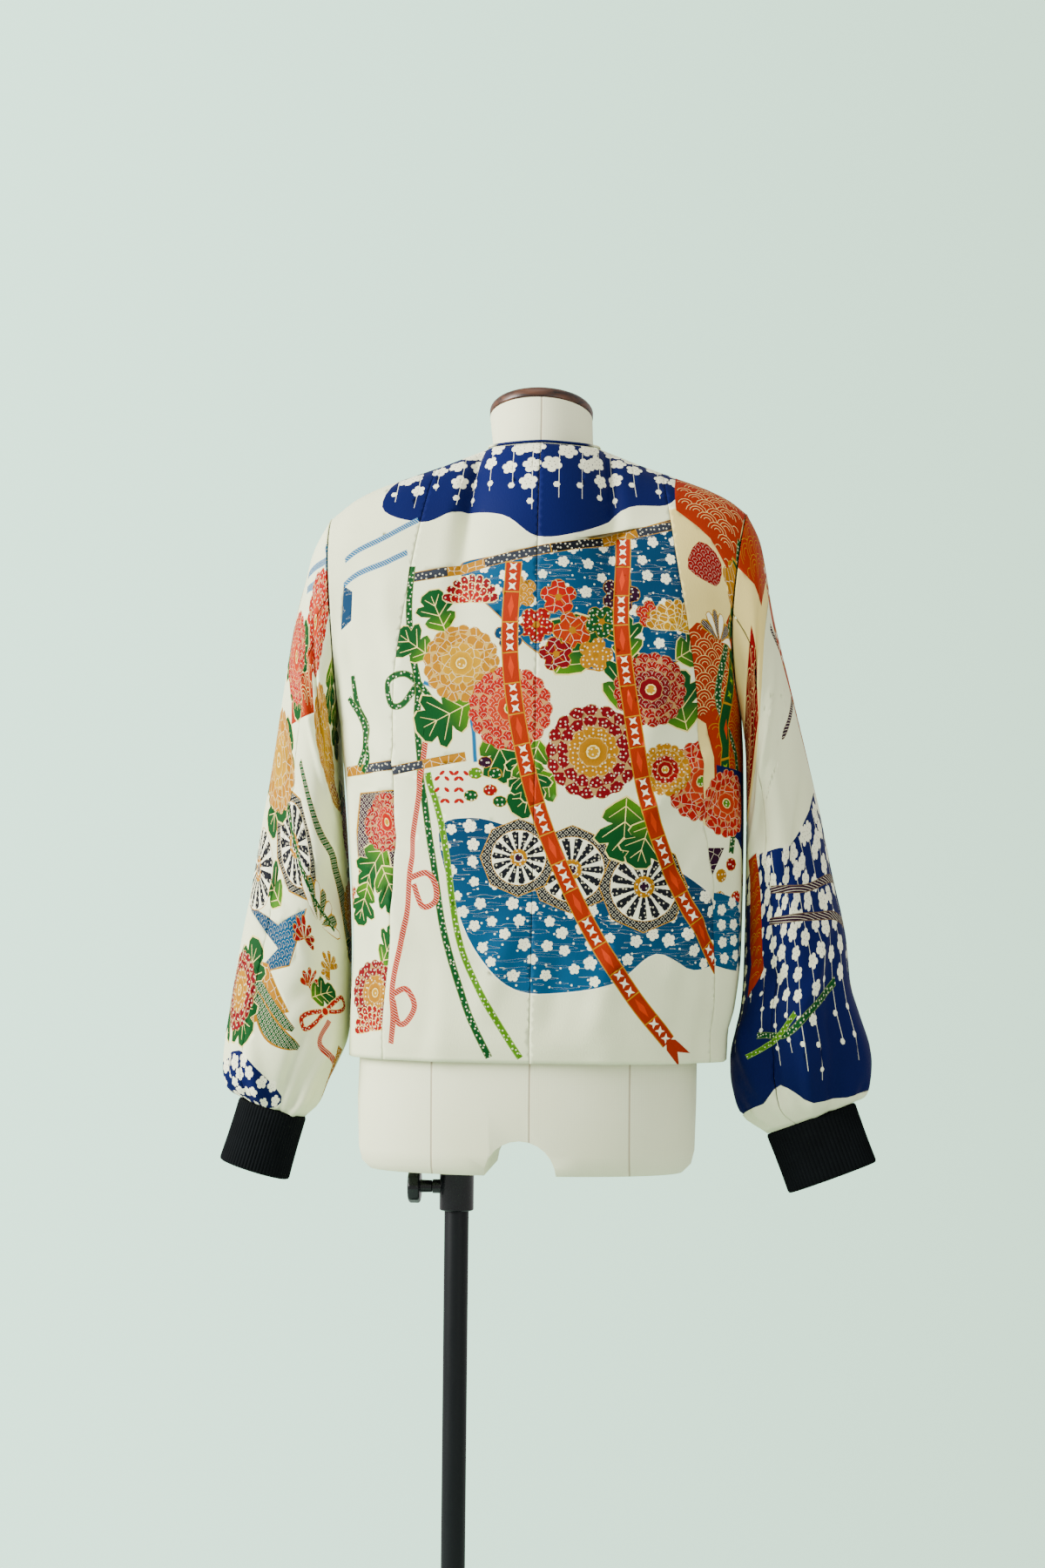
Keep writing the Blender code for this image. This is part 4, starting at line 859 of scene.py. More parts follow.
# these cords run along the seam of the left side panel, so they are painted on both pieces
for art in (back_art, side_art[1]):
    cord(art, many(behind, [(-112, 372), (-130, 388), (-147, 376), (-142, 354), (-128, 356), (-114, 378)]), 0.0050,
         LEAF_DARK)
    cord(art, many(behind, [(-123, 495), (-125, 450), (-122, 408), (-114, 372), (-113, 330), (-108, 262), (-98, 190),
        (-84, 130), (-66, 56), (-42, 4)]), 0.0056, LEAF_DARK)
    cord(art, many(behind, [(-113, 376), (-98, 350), (-90, 330)]), 0.0042, LEAF_DARK)
    cord(art, many(behind, [(-104, 290), (-88, 228), (-72, 130), (-50, 72), (-10, 4)]), 0.0050, linear("#41700A"))
    cord(art, many(behind, [(-108, 330), (-112, 272), (-118, 220), (-121, 183), (-126, 140), (-138, 78), (-140, 46),
        (-142, 16)]), 0.0042, CORAL, STRIPES)
    cord(art, many(behind, [(-121, 183), (-106, 190), (-94, 178), (-96, 158), (-110, 154), (-120, 178)]), 0.0042,
         CORAL, STRIPES)
    cord(art, many(behind, [(-139, 66), (-126, 70), (-118, 54), (-124, 36), (-136, 40), (-139, 62)]), 0.0042, CORAL,
         STRIPES)
cord(back_art, many(behind, [(-110, 378), (-88, 366), (-60, 340), (-54, 300)]), 0.0026, AZURE, PLAIN)
bar(back_art, behind(-150, 290), behind(-66, 306), 0.0080, [(3, SLATE, DOTS), (3, OCHRE, CRACKLE)])
for k, (x, y, r) in enumerate([(40, 196, 32), (112, 178, 34), (-14, 206, 27)]):
    field = disc(behind(x, y), (r + 11) / 1000.0, 8)
    back_art.paint(disc(behind(x, y), (r + 12) / 1000.0, 8), GOLD)
    back_art.paint(field, CHARCOAL, KANOKO)
    wheel(back_art, behind(x, y), r / 1000.0, 14, 11 * k)

# %% Flowers of the back, behind the ribbons
# right, up and radius in millimetres, rim, core, heart, kind
BACK_FLOWERS = [
    (-74, 396, 39, OCHRE, YELLOW, YELLOW, CRACKLE), (-20, 352, 42, CORAL, PINK, LEAF_LIGHT, WAVES),
    (116, 372, 37, RED, CRIMSON, YELLOW, WAVES), (62, 312, 47, CRIMSON, OCHRE, YELLOW, DOTS),
    (166, 282, 40, CORAL, PINK, LEAF_LIGHT, CRACKLE), (132, 292, 26, OCHRE, RED, YELLOW, DOTS),
]
BACK_LEAVES = [
    (-60, 356, 62, 205), (-44, 330, 58, 300), (20, 388, 66, 60), (10, 322, 52, 250), (84, 352, 60, 75),
    (92, 268, 64, 268), (150, 330, 62, 100), (24, 288, 56, 215), (118, 246, 50, 250), (176, 328, 54, 60),
    (-104, 404, 44, 150), (-6, 306, 46, 290), (-88, 430, 46, 120), (140, 404, 46, 30), (96, 404, 44, 100),
    (188, 244, 44, 310),
]
for x, y, size, angle in BACK_LEAVES:
    leaf(back_art, behind(x, y), size / 1000.0, angle + rng.uniform(-8, 8), wide=1.05)
for x, y, r, colour, kind in [(-14, 470, 17, OCHRE, WAVES), (26, 462, 18, CORAL, CRACKLE), (4, 436, 18, RED, DOTS),
    (40, 430, 19, ORANGE, CRACKLE), (86, 466, 20, PURPLE, DOTS), (66, 440, 17, LEAF_DARK, DOTS),
    (-26, 424, 15, DEEP, DOTS), (22, 408, 17, CRIMSON, CRACKLE), (62, 408, 17, OCHRE, DOTS),
    (112, 446, 14, CORAL, WAVES)]:
    plum(back_art, behind(x, y), r / 1000.0, radial(colour * 1.2, colour, behind(x, y), r / 1000.0), kind,
         rng.uniform(0, 72))
half_flower(back_art, behind(-66, 458), 0.030, CRIMSON, CORAL, 0.0)
half_flower(back_art, behind(140, 432), 0.032, OCHRE, YELLOW, -6.0, CRACKLE)
for x, y, r, rim, core, heart, kind in BACK_FLOWERS:
    chrysanthemum(back_art, behind(x, y), r / 1000.0, rim, core, heart, kind, angle=rng.uniform(0, 20))
for x, y in [(-46, 300), (-36, 288), (-56, 286), (-40, 272), (-60, 268), (-30, 262)]:
    back_art.paint(disc(behind(x, y), 0.0075, 9, 0.8), GOLD)
    back_art.paint(disc(behind(x, y), 0.0067, 9, 0.8), rng.choice([PURPLE, LEAF_DARK, RED, OCHRE, LEAF_LIGHT]), DOTS)
for k in range(16):
    x, y = -92 + 8 * (k % 4) + rng.uniform(-2, 2), 262 + 9 * (k // 4)
    back_art.paint(disc(behind(x, y), 0.0034, 7, 0.55, 40 * (-1) ** k), CORAL)
ribbon(back_art, many(behind, [(-24, 500), (-22, 410), (-10, 325), (14, 236), (56, 146), (100, 72), (138, 24)]), 0.0150)
ribbon(back_art, many(behind, [(84, 524), (86, 440), (98, 346), (120, 250), (154, 160), (186, 92)]), 0.0145)
for tip, angle in ((behind(138, 24), -46), (behind(184, 96), -58)):
    for sign in (1, -1):
        tail = [(-0.004, 0.0), (0.004, 0.0075 * sign), (0.026, 0.010 * sign), (0.014, 0.0)]
        back_art.paint(turned(tail, tip, angle), ORANGE)
print("back print", len(back_art.shapes), "outlines")

# %% Print of the side panels
art = side_art[1]
for start, end in (((-196, 500), (-120, 540)), ((-196, 476), (-130, 508))):
    cord(art, many(behind, [start, (-160, 520 if start[1] == 500 else 494), end]), 0.0048, AZURE, STRIPES)
art.paint(many(behind, [(-196, 474), (-186, 470), (-188, 440), (-198, 430)]), DEEP, WATER)
bar(art, behind(-192, 286), behind(-110, 300), 0.0086, [(3, OCHRE, CRACKLE), (4, SLATE, DOTS), (3, OCHRE, CRACKLE)])
panel = many(behind, [(-178, 268), (-116, 272), (-116, 182), (-176, 178)])
art.paint(panel + np.sign(panel - panel.mean(axis=0)) * 0.0012, GOLD)
art.paint(panel, PURPLE, KANOKO)
cord(art, many(behind, [(-186, 384), (-180, 354), (-168, 332), (-167, 304), (-174, 286)]), 0.0046, LEAF_DARK)
cord(art, many(behind, [(-190, 362), (-178, 344), (-170, 318), (-178, 292)]), 0.0046, LEAF_DARK)
leaf(art, behind(-150, 214), 0.060, 235)
leaf(art, behind(-150, 196), 0.052, 300)
leaf(art, behind(-168, 176), 0.046, 250)
chrysanthemum(art, behind(-146, 236), 0.030, RED, CORAL, YELLOW, WAVES)
leaf(art, behind(-152, 92), 0.046, 60)
chrysanthemum(art, behind(-158, 66), 0.033, CRIMSON, OCHRE, YELLOW, DOTS)
half_flower(art, behind(-164, 26), 0.026, RED, CORAL, 10.0)
half_flower(art, behind(-186, 150), 0.024, RED, CORAL, 60.0)
art.paint(disc(behind(-124, 6), 0.022, 10, 0.5), ROYAL)

art = side_art[-1]
art.paint(many(behind, [(122, 552), (224, 540), (224, 214), (168, 236), (150, 330), (122, 372)]), BEIGE)
waves(art, many(behind, [(136, 600), (180, 592), (224, 560), (224, 478), (190, 490), (172, 524), (136, 552)]), 0.012,
      ORANGE, BEIGE)
waves(art, curve(many(behind, [(140, 404), (160, 440), (182, 428), (204, 452), (224, 440), (224, 330), (150, 350)]),
                 3, True), 0.012, ORANGE, BEIGE)
art.paint(curve(many(behind, [(150, 492), (178, 478), (182, 500), (160, 520)]), 3, True), RED, WAVES)
waves(art, many(behind, [(170, 350), (214, 380), (214, 250), (180, 250)]), 0.013, ORANGE, YELLOW)
cord(art, many(behind, [(226, 520), (196, 450), (182, 370), (200, 300), (196, 210)]), 0.0060, LEAF_DARK)
ribbon(art, many(behind, [(222, 500), (200, 420), (186, 340), (196, 250)]), 0.014, 0.05, LEAF_DARK, LIME)
plum(art, behind(196, 474), 0.021, OCHRE, CRACKLE)
for k in range(6):
    art.paint(petal(behind(182, 420), 30 + 24 * k, 0.003, 0.034, 0.012), GOLD)
    art.paint(petal(behind(182, 420), 30 + 24 * k, 0.004, 0.033, 0.0085), PURPLE if k % 2 else WHITE,
              STRIPES if k % 2 else PLAIN)
art.paint(many(behind, [(180, 300), (214, 290), (214, 190), (190, 240)]), ROYAL)
chrysanthemum(art, behind(192, 262), 0.034, CORAL, PINK, LEAF_LIGHT, CRACKLE)
art.paint(many(behind, [(150, 214), (190, 214), (168, 172)]), PURPLE, CRACKLE)
for x, y in [(196, 200), (206, 184), (186, 186), (200, 166), (184, 168)]:
    art.paint(disc(behind(x, y), 0.0082, 9, 0.85), GOLD)
    art.paint(disc(behind(x, y), 0.0073, 9, 0.85), rng.choice([RED, OCHRE, CORAL]), DOTS)
art.paint(curve(many(behind, [(160, 164), (204, 160), (206, 96), (170, 104)]), 5, True), SKY, WATER)
for p in scatter(curve(many(behind, [(160, 164), (204, 160), (206, 96), (170, 104)]), 5, True), 0.015, 0.004, rng):
    white_plum(art, p, 0.0060, rng.uniform(0, 72))
print("side prints", [len(a.shapes) for a in side_art.values()])

# %% Print of the sleeves
sleeve_art = {1: Print(), -1: Print()}
art = sleeve_art[-1]


def right_sleeve(x, y):
    return on_sleeve(-1, x, y)


art.paint([(-0.20, 0.02), (0.20, 0.02), (0.20, -0.075), (0.06, -0.085), (-0.02, -0.120), (-0.20, -0.130)], BEIGE)
waves(art, np.array([(-0.20, -0.02), (0.02, -0.03), (0.00, -0.105), (-0.20, -0.120)]), 0.014, RED, BEIGE)
waves(art, np.array([(0.05, 0.01), (0.20, 0.01), (0.20, -0.07), (0.07, -0.06)]), 0.014, ORANGE, YELLOW)
cord(art, many(right_sleeve, [(232, 440), (252, 380), (246, 330), (228, 350), (246, 372), (240, 300), (228, 250)]),
     0.0052, PURPLE, STRIPES)
blue_field = curve([(-0.20, -0.190), (-0.12, -0.186), (-0.05, -0.204), (0.00, -0.236), (0.05, -0.262), (0.20, -0.262),
                    (0.20, -0.470), (0.10, -0.500), (0.02, -0.500), (-0.03, -0.478), (-0.08, -0.498),
                    (-0.20, -0.480)], 4, True)
art.paint(blue_field, across(ROYAL * 1.2, ROYAL * 0.9, (0.0, -0.26), (0.0, -0.50)))
plum_stems(art, blue_field, random.Random(5), 0.021, 0.0088, 0.6)
for up in (178, 146):
    cord(art, many(right_sleeve, [(236, up - 4), (270, up), (300, up + 2), (330, up - 6)]), 0.0050, PURPLE, STRIPES)
cord(art, many(right_sleeve, [(224, 26), (252, 30), (278, 54), (300, 84)]), 0.0060, LEAF_DARK)
cord(art, many(right_sleeve, [(214, 4), (240, 22), (262, 50)]), 0.0050, LEAF_LIGHT)
waves(art, np.array([(-0.075, -0.180), (-0.045, -0.200), (-0.048, -0.330), (-0.080, -0.350)]), 0.011, ORANGE, YELLOW)

art = sleeve_art[1]


def left_sleeve(x, y):
    return on_sleeve(1, x, y)


for shift in (0.0, 16.0):
    cord(art, many(left_sleeve, [(-236, 486 - shift), (-214, 500 - shift), (-196, 520 - shift)]), 0.0046, AZURE,
         STRIPES)
leaf(art, left_sleeve(-206, 404), 0.052, 320)
leaf(art, left_sleeve(-244, 392), 0.048, 230)
chrysanthemum(art, left_sleeve(-224, 438), 0.040, CORAL, PINK, YELLOW, DOTS)
waves(art, np.array([on_sleeve(1, -250, 402), on_sleeve(1, -228, 410), on_sleeve(1, -226, 348),
                     on_sleeve(1, -252, 336)]), 0.010, ORANGE, BEIGE)
leaf(art, left_sleeve(-198, 360), 0.056, 300)
leaf(art, left_sleeve(-252, 310), 0.050, 200)
chrysanthemum(art, left_sleeve(-218, 318), 0.044, OCHRE, YELLOW, ORANGE, CRACKLE)
leaf(art, left_sleeve(-206, 280), 0.050, 290)
leaf(art, left_sleeve(-256, 272), 0.054, 250)
field = disc(left_sleeve(-246, 214), 0.044, 8)
art.paint(disc(left_sleeve(-246, 214), 0.0455, 8), GOLD)
art.paint(field, CHARCOAL, KANOKO)
wheel(art, left_sleeve(-246, 214), 0.034, 14, 4)
band = curve(many(left_sleeve, [(-240, 300), (-226, 240), (-204, 180), (-190, 110)]), 8)
art.paint(strip(band, 0.0205, np.linspace(0.5, 1.5, len(band))), GOLD)
art.paint(strip(band, 0.0185, np.linspace(0.5, 1.5, len(band))), LEAF_DARK, KANOKO)
for k in range(7):
    art.paint(petal(left_sleeve(-222, 132), 20 + 20 * k, 0.006, 0.046, 0.014), GOLD)
    art.paint(petal(left_sleeve(-222, 132), 20 + 20 * k, 0.007, 0.045, 0.011), LEAF_DARK if k % 2 else WHITE,
              KANOKO if k % 2 else PLAIN)
zigzag = many(left_sleeve, [(-296, 150), (-262, 108), (-290, 76), (-250, 92), (-232, 150), (-262, 132)])
art.paint(curve(zigzag, 1, True), GOLD)
art.paint(zigzag * 0.96 + zigzag.mean(axis=0) * 0.04, across(DEEP, SKY, zigzag[0], zigzag[4]), WAVES)
wedge = many(left_sleeve, [(-306, 100), (-272, 92), (-250, 44), (-304, 22)])
art.paint(wedge * 1.03 - wedge.mean(axis=0) * 0.03, GOLD)
art.paint(wedge, OCHRE, CRACKLE)
for x0, y0, x1, y1 in ((-300, 110, -246, 26), (-286, 64, -240, 8)):
    leafy = curve(many(left_sleeve, [(x0, y0), ((x0 + x1) / 2 - 4, (y0 + y1) / 2 - 10), (x1, y1)]), 8)
    art.paint(strip(leafy, 0.0240, np.sin(np.linspace(0.25, 2.9, len(leafy)))), OCHRE)
    art.paint(strip(leafy, 0.0195, np.sin(np.linspace(0.25, 2.9, len(leafy)))), LEAF_DARK, KANOKO)
for x, y, colour, angle in ((-232, 118, RED, 10), (-212, 86, OCHRE, 60), (-232, 70, CORAL, -20)):
    for k in range(7):
        reach = 0.024 * (1.0 - 0.10 * abs(k - 3))
        art.paint(petal(left_sleeve(x, y), angle + 90 + 34 * (k - 3), 0.0, reach, 0.0075), GOLD)
        art.paint(petal(left_sleeve(x, y), angle + 90 + 34 * (k - 3), 0.001, reach - 0.001, 0.0062), colour, CRACKLE)
leaf(art, left_sleeve(-226, 60), 0.044, 30)
leaf(art, left_sleeve(-258, 150), 0.046, 160)
half_flower(art, left_sleeve(-206, 250), 0.024, CRIMSON, OCHRE, 20.0)
cord(art, many(left_sleeve, [(-262, 330), (-256, 270), (-244, 210), (-226, 160), (-206, 128)]), 0.0050, LEAF_DARK)
bow(art, left_sleeve(-214, 44), 0.036, 20, 0.0056, CORAL)
cord(art, many(left_sleeve, [(-212, 36), (-220, 10), (-204, -20), (-212, -48)]), 0.0052, CORAL, STRIPES)
low_blue = curve([(-0.20, -0.440), (-0.12, -0.452), (-0.06, -0.440), (-0.02, -0.462), (0.02, -0.500), (-0.05, -0.512),
                  (-0.20, -0.512)], 4, True)
art.paint(low_blue, ROYAL)
for p in scatter(low_blue, 0.0150, 0.003, rng):
    white_plum(art, p, 0.0082, rng.uniform(0, 72))
art.paint(many(left_sleeve, [(-204, 10), (-194, 0), (-206, -46), (-224, -52)]), OCHRE, DOTS)
# the front of both sleeves, which the picture of the back doesn't reach
for side in (1, -1):
    art = sleeve_art[side]
    out = -side
    for u, v, r, rim, core in ((0.150, -0.130, 0.038, CRIMSON, OCHRE), (0.135, -0.225, 0.040, OCHRE, YELLOW),
        (0.160, -0.300, 0.030, CORAL, PINK)):
        if side == 1:
            leaf(art, (-out * u, v - 0.02), 0.056, 250)
            leaf(art, (-out * u, v + 0.02), 0.052, 40)
            chrysanthemum(art, (-out * u, v), r, rim, core, YELLOW, DOTS)
    ribbon(art, [(out * 0.118, -0.05), (out * 0.124, -0.20), (out * 0.150, -0.33), (out * 0.170, -0.46)], 0.014)
# the outer side of the left sleeve, which shows at the picture's edge and from the side
art = sleeve_art[1]
for u, v, r, rim, core, kind in ((-0.072, -0.105, 0.036, CORAL, PINK, WAVES),
    (-0.078, -0.205, 0.040, OCHRE, YELLOW, CRACKLE), (-0.076, -0.395, 0.030, CRIMSON, OCHRE, DOTS)):
    for turn, push in ((200, 0.004), (310, -0.006), (80, 0.010)):
        leaf(art, (u + push, v - push), 0.056, turn)
    chrysanthemum(art, (u, v), r, rim, core, YELLOW, kind)
wheel(art, (-0.082, -0.300), 0.032, 14, 9)
print("sleeve prints", [len(a.shapes) for a in sleeve_art.values()])

# %% Print of the fronts
front_art = Print()
for sign in (1, -1):
    FRONT_CLOUD = [(20, 560), (60, 600), (110, 620), (170, 590), (196, 560), (150, 520), (90, 505), (40, 520)]
    outline = cloud(front_art, many(before, [(sign * x, y) for x, y in FRONT_CLOUD]), ROYAL)
    plum_stems(front_art, outline, random.Random(20 + sign))
FRONT_FLOWERS = [(70, 420, 40, OCHRE, YELLOW, CRACKLE), (128, 382, 42, CRIMSON, OCHRE, DOTS),
                 (84, 340, 38, CORAL, PINK, WAVES), (-120, 300, 42, CORAL, PINK, WAVES),
                 (-72, 262, 38, OCHRE, YELLOW, CRACKLE), (-130, 222, 36, CRIMSON, OCHRE, DOTS)]
FRONT_RIVER = [(-182, 170), (-120, 184), (-60, 160), (-16, 168), (-14, 96), (-70, 70), (-120, 88), (-182, 66)]
river_front = cloud(front_art, many(before, FRONT_RIVER), across(SKY, DEEP, before(-20, 160), before(-180, 80)), WATER)
for p in scatter(river_front, 0.0165, 0.006, rng):
    white_plum(front_art, p, rng.uniform(0.0052, 0.0070), rng.uniform(0, 72))
CURTAIN_FRONT = [(20, 250), (90, 262), (176, 250), (184, 150), (110, 120), (24, 140)]
curtain_front = cloud(front_art, many(before, CURTAIN_FRONT), across(DEEP, SKY, before(20, 250), before(180, 140)),
                      WATER)
for p in scatter(curtain_front, 0.0165, 0.006, rng):
    white_plum(front_art, p, rng.uniform(0.0052, 0.0070), rng.uniform(0, 72))
bar(front_art, before(16, 460), before(186, 486), 0.0086, PARTS[:5])
bar(front_art, before(-182, 378), before(-16, 350), 0.0086, PARTS[:5])
for x, y, r, rim, core, kind in FRONT_FLOWERS:
    leaf(front_art, before(x - 20, y + 18), 0.058, 140)
    leaf(front_art, before(x + 16, y - 20), 0.062, 310)
    leaf(front_art, before(x - 14, y - 24), 0.052, 240)
    chrysanthemum(front_art, before(x, y), r / 1000.0, rim, core, YELLOW, kind)
ribbon(front_art, many(before, [(40, 452), (44, 340), (60, 220), (110, 90), (150, 40)]), 0.015)
ribbon(front_art, many(before, [(-44, 340), (-50, 240), (-84, 130), (-140, 50)]), 0.015)
cord(front_art, many(before, [(-150, 480), (-120, 440), (-140, 400), (-100, 390), (-90, 430), (-116, 360)]), 0.0056,
     LEAF_DARK)
cord(front_art, many(before, [(160, 330), (150, 240), (170, 150), (140, 60), (152, 6)]), 0.0052, CORAL, STRIPES)
print("front print", len(front_art.shapes), "outlines")

# %% [markdown]
# ## From outlines to cloth
# A constrained triangulation lays all outlines of a pattern piece over one another and tells, for each small triangle,
# which of them it lies in. The last one painted wins. The flat triangles are then lifted to the body, so the colour
# edges stay sharp at any distance and no picture is needed. A loose grid of extra points keeps the cloth smooth.

# %% Cutting and lifting a pattern piece
GRID_STEP = 0.0052


def grid_points(edge, step):
    low, high = edge.min(axis=0), edge.max(axis=0)
    points = []
    for i, v in enumerate(np.arange(low[1], high[1], step * 0.88)):
        for u in np.arange(low[0] + step * 0.5 * (i % 2), high[0], step):
            points.append((u, v))
    points = np.array(points)
    keep = np.array([inside(edge, p) and np.min(np.abs(edge - p).sum(axis=1)) > step * 0.35 for p in points])
    return points[keep]


def pattern_piece(name, cloth, edge, art, thickness=0.0011):
    """One printed pattern piece: edge is its cut outline on the flat map."""
    edge = np.asarray(edge)
    if np.sum(edge[:, 0] * np.roll(edge[:, 1], -1) - np.roll(edge[:, 0], -1) * edge[:, 1]) < 0:
        edge = edge[::-1]
    low, high = edge.min(axis=0), edge.max(axis=0)
    points = [edge]
    faces = [list(range(len(edge)))]
    used = [None]
    done = len(edge)
    for outline, colour, kind in art.shapes:
        a, b = outline.min(axis=0), outline.max(axis=0)
        if b[0] < low[0] or a[0] > high[0] or b[1] < low[1] or a[1] > high[1]:
            continue
        points.append(outline)
        faces.append(list(range(done, done + len(outline))))
        used.append((colour, kind))
        done += len(outline)
    loose = grid_points(edge, GRID_STEP)
    points.append(loose)
    flat_in = [Vector((float(x), float(y))) for x, y in np.concatenate(points)]
    verts, _, tris, _, _, owners = delaunay_2d_cdt(flat_in, [], faces, 0, 1e-6)
    flat = np.array([tuple(v) for v in verts])
    kept = [(t, max(o)) for t, o in zip(tris, owners) if 0 in o]
    corners = np.array([t for t, _ in kept])
    owner = np.array([o for _, o in kept])
    space = cloth.lift(flat)
    colours = np.broadcast_to(art.ground, (len(corners), 3, 3)).copy()
    kinds = np.zeros(len(corners))
    for index in np.unique(owner):
        if index == 0:
            continue
        mine = owner == index
        colour, kind = used[index]
        colours[mine] = colour(flat[corners[mine]].reshape(-1, 2)).reshape(-1, 3, 3)
        kinds[mine] = kind
    a, b, c = space[corners[:, 0]], space[corners[:, 1]], space[corners[:, 2]]
    normal = np.cross(b - a, c - a)
    middle = (a + b + c) / 3
    pivot = middle.mean(axis=0)
    if cloth.outward is outward_body:
        facing = np.sum(normal * outward_body(middle))
    else:
        line = cloth.grid.mean(axis=1)
        nearest = line[np.argmin(np.linalg.norm(middle[:, None, :] - line[None, ::6, :], axis=2), axis=1) * 6]
        facing = np.sum(normal * (middle - nearest))
    if facing < 0:
        corners, colours = corners[:, ::-1], colours[:, ::-1]
    mesh = bpy.data.meshes.new(name)
    mesh.from_pydata([tuple(p) for p in space], [], [tuple(int(i) for i in t) for t in corners])
    uv = mesh.uv_layers.new(name="flat")
    uv.data.foreach_set("uv", flat[corners].reshape(-1, 2).astype(np.float32).ravel())
    dye = mesh.color_attributes.new("dye", "FLOAT_COLOR", "CORNER")
    rgba = np.concatenate([np.clip(colours.reshape(-1, 3), 0, 1), np.ones((len(corners) * 3, 1))], axis=1)
    dye.data.foreach_set("color", rgba.astype(np.float32).ravel())
    motif = mesh.attributes.new("motif", "FLOAT", "FACE")
    motif.data.foreach_set("value", kinds.astype(np.float32))
    mesh.polygons.foreach_set("use_smooth", [True] * len(mesh.polygons))
    work = bmesh.new()
    work.from_mesh(mesh)
    bmesh.ops.delete(work, geom=[v for v in work.verts if not v.link_faces], context="VERTS")
    work.to_mesh(mesh)
    work.free()
    ob = bpy.data.objects.new(name, mesh)
    bpy.context.scene.collection.objects.link(ob)
    wall = ob.modifiers.new("cloth", "SOLIDIFY")
    wall.thickness, wall.offset = thickness, 0.0
    bpy.context.view_layer.update()
    solid = bpy.data.meshes.new_from_object(ob.evaluated_get(bpy.context.evaluated_depsgraph_get()))
    ob.modifiers.clear()
    ob.data = solid
    solid.name = name
    size = high - low
    shown_area = float(np.linalg.norm(normal, axis=1).sum() / 2)
    cut_area = float(np.sum(edge[:, 0] * np.roll(edge[:, 1], -1) - np.roll(edge[:, 0], -1) * edge[:, 1]) / 2)
    print(f"{name}: {len(solid.polygons)} faces, map {size[0] * 100:.1f} by {size[1] * 100:.1f} cm, "
          f"{cut_area * 1e4:.0f} sq cm flat, {shown_area * 1e4:.0f} shown")
    return ob, (float(size[0]), float(size[1])), cut_area


def body_edge(cloth, start, stop, face, levels=64, shares=46):
    """Cut outline of a body piece between two shares, each a function of the level."""
    side_low = [(level, start(level)) for level in np.linspace(0.0, 2.0, levels)]
    side_high = [(level, stop(level)) for level in np.linspace(0.0, 2.0, levels)]
    top = [(2.0, s) for s in np.linspace(start(2.0), stop(2.0), shares)]
    hem = [(0.0, s) for s in np.linspace(start(0.0), stop(0.0), shares)]
    neck = NECK_SHARE[face]
    outline = []
    for level, share in hem[:-1] + side_high[:-1] + top[::-1][:-1] + side_low[::-1][:-1]:
        if level > 1.96:
            spare = 1.0 + 2.6 * float(smooth(neck - 0.04, neck, share)) * (1.0
                - float(smooth(neck - 0.08, neck + 0.11, share)))
            level = min(level, 2.0 - spare * 0.00125)
        row = np.interp(level, LEVELS, np.arange(len(LEVELS)))
        outline.append(cloth.place(row, share * (len(SHARES) - 1)))
    keep = [outline[0]]
    for p in outline[1:]:
        if np.linalg.norm(p - keep[-1]) > 0.0006:
            keep.append(p)
    return np.array(keep)


# %% The printed pieces of the body
made = {}
gap = SEAM_GAP / 2 / 0.27
for side, word in ((1, "left"), (-1, "right")):
    cut = lambda level, s=side: seam_share(s, level)
    edge = lambda level: 1.0 - gap * (level <= 1.0)
    back = body[side, 1]
    made["back_" + word] = pattern_piece("back_panel_" + word, back,
        body_edge(back, lambda l: gap, lambda l: cut(l) - gap, 1), back_art)
    made["back_side_" + word] = pattern_piece("back_side_panel_" + word, back,
        body_edge(back, lambda l: cut(l) + gap, edge, 1), side_art[side])
    front = body[side, -1]
    made["front_" + word] = pattern_piece("front_panel_" + word, front, body_edge(front, lambda l: 0.0, edge, -1),
        front_art)


# %% The printed pieces of the sleeves
def sleeve_edge(cloth, start, stop, along=70, round_=40):
    """Cut outline of a sleeve piece between two places round it, each a function of the share of its length."""
    last = len(SLEEVE_SHARES) - 1

    def spot(share, turn):
        column = (turn - SLEEVE_TURNS[0]) / (SLEEVE_TURNS[1] - SLEEVE_TURNS[0])
        return cloth.place(share * last, column)

    shares = np.linspace(0.0, 1.0, along)
    outline = [spot(0.0, t) for t in np.linspace(start(0.0), stop(0.0), round_)[:-1]]
    outline += [spot(s, stop(s)) for s in shares[:-1]]
    outline += [spot(1.0, t) for t in np.linspace(stop(1.0), start(1.0), round_)[:-1]]
    outline += [spot(s, start(s)) for s in shares[::-1][:-1]]
    return np.array(outline)


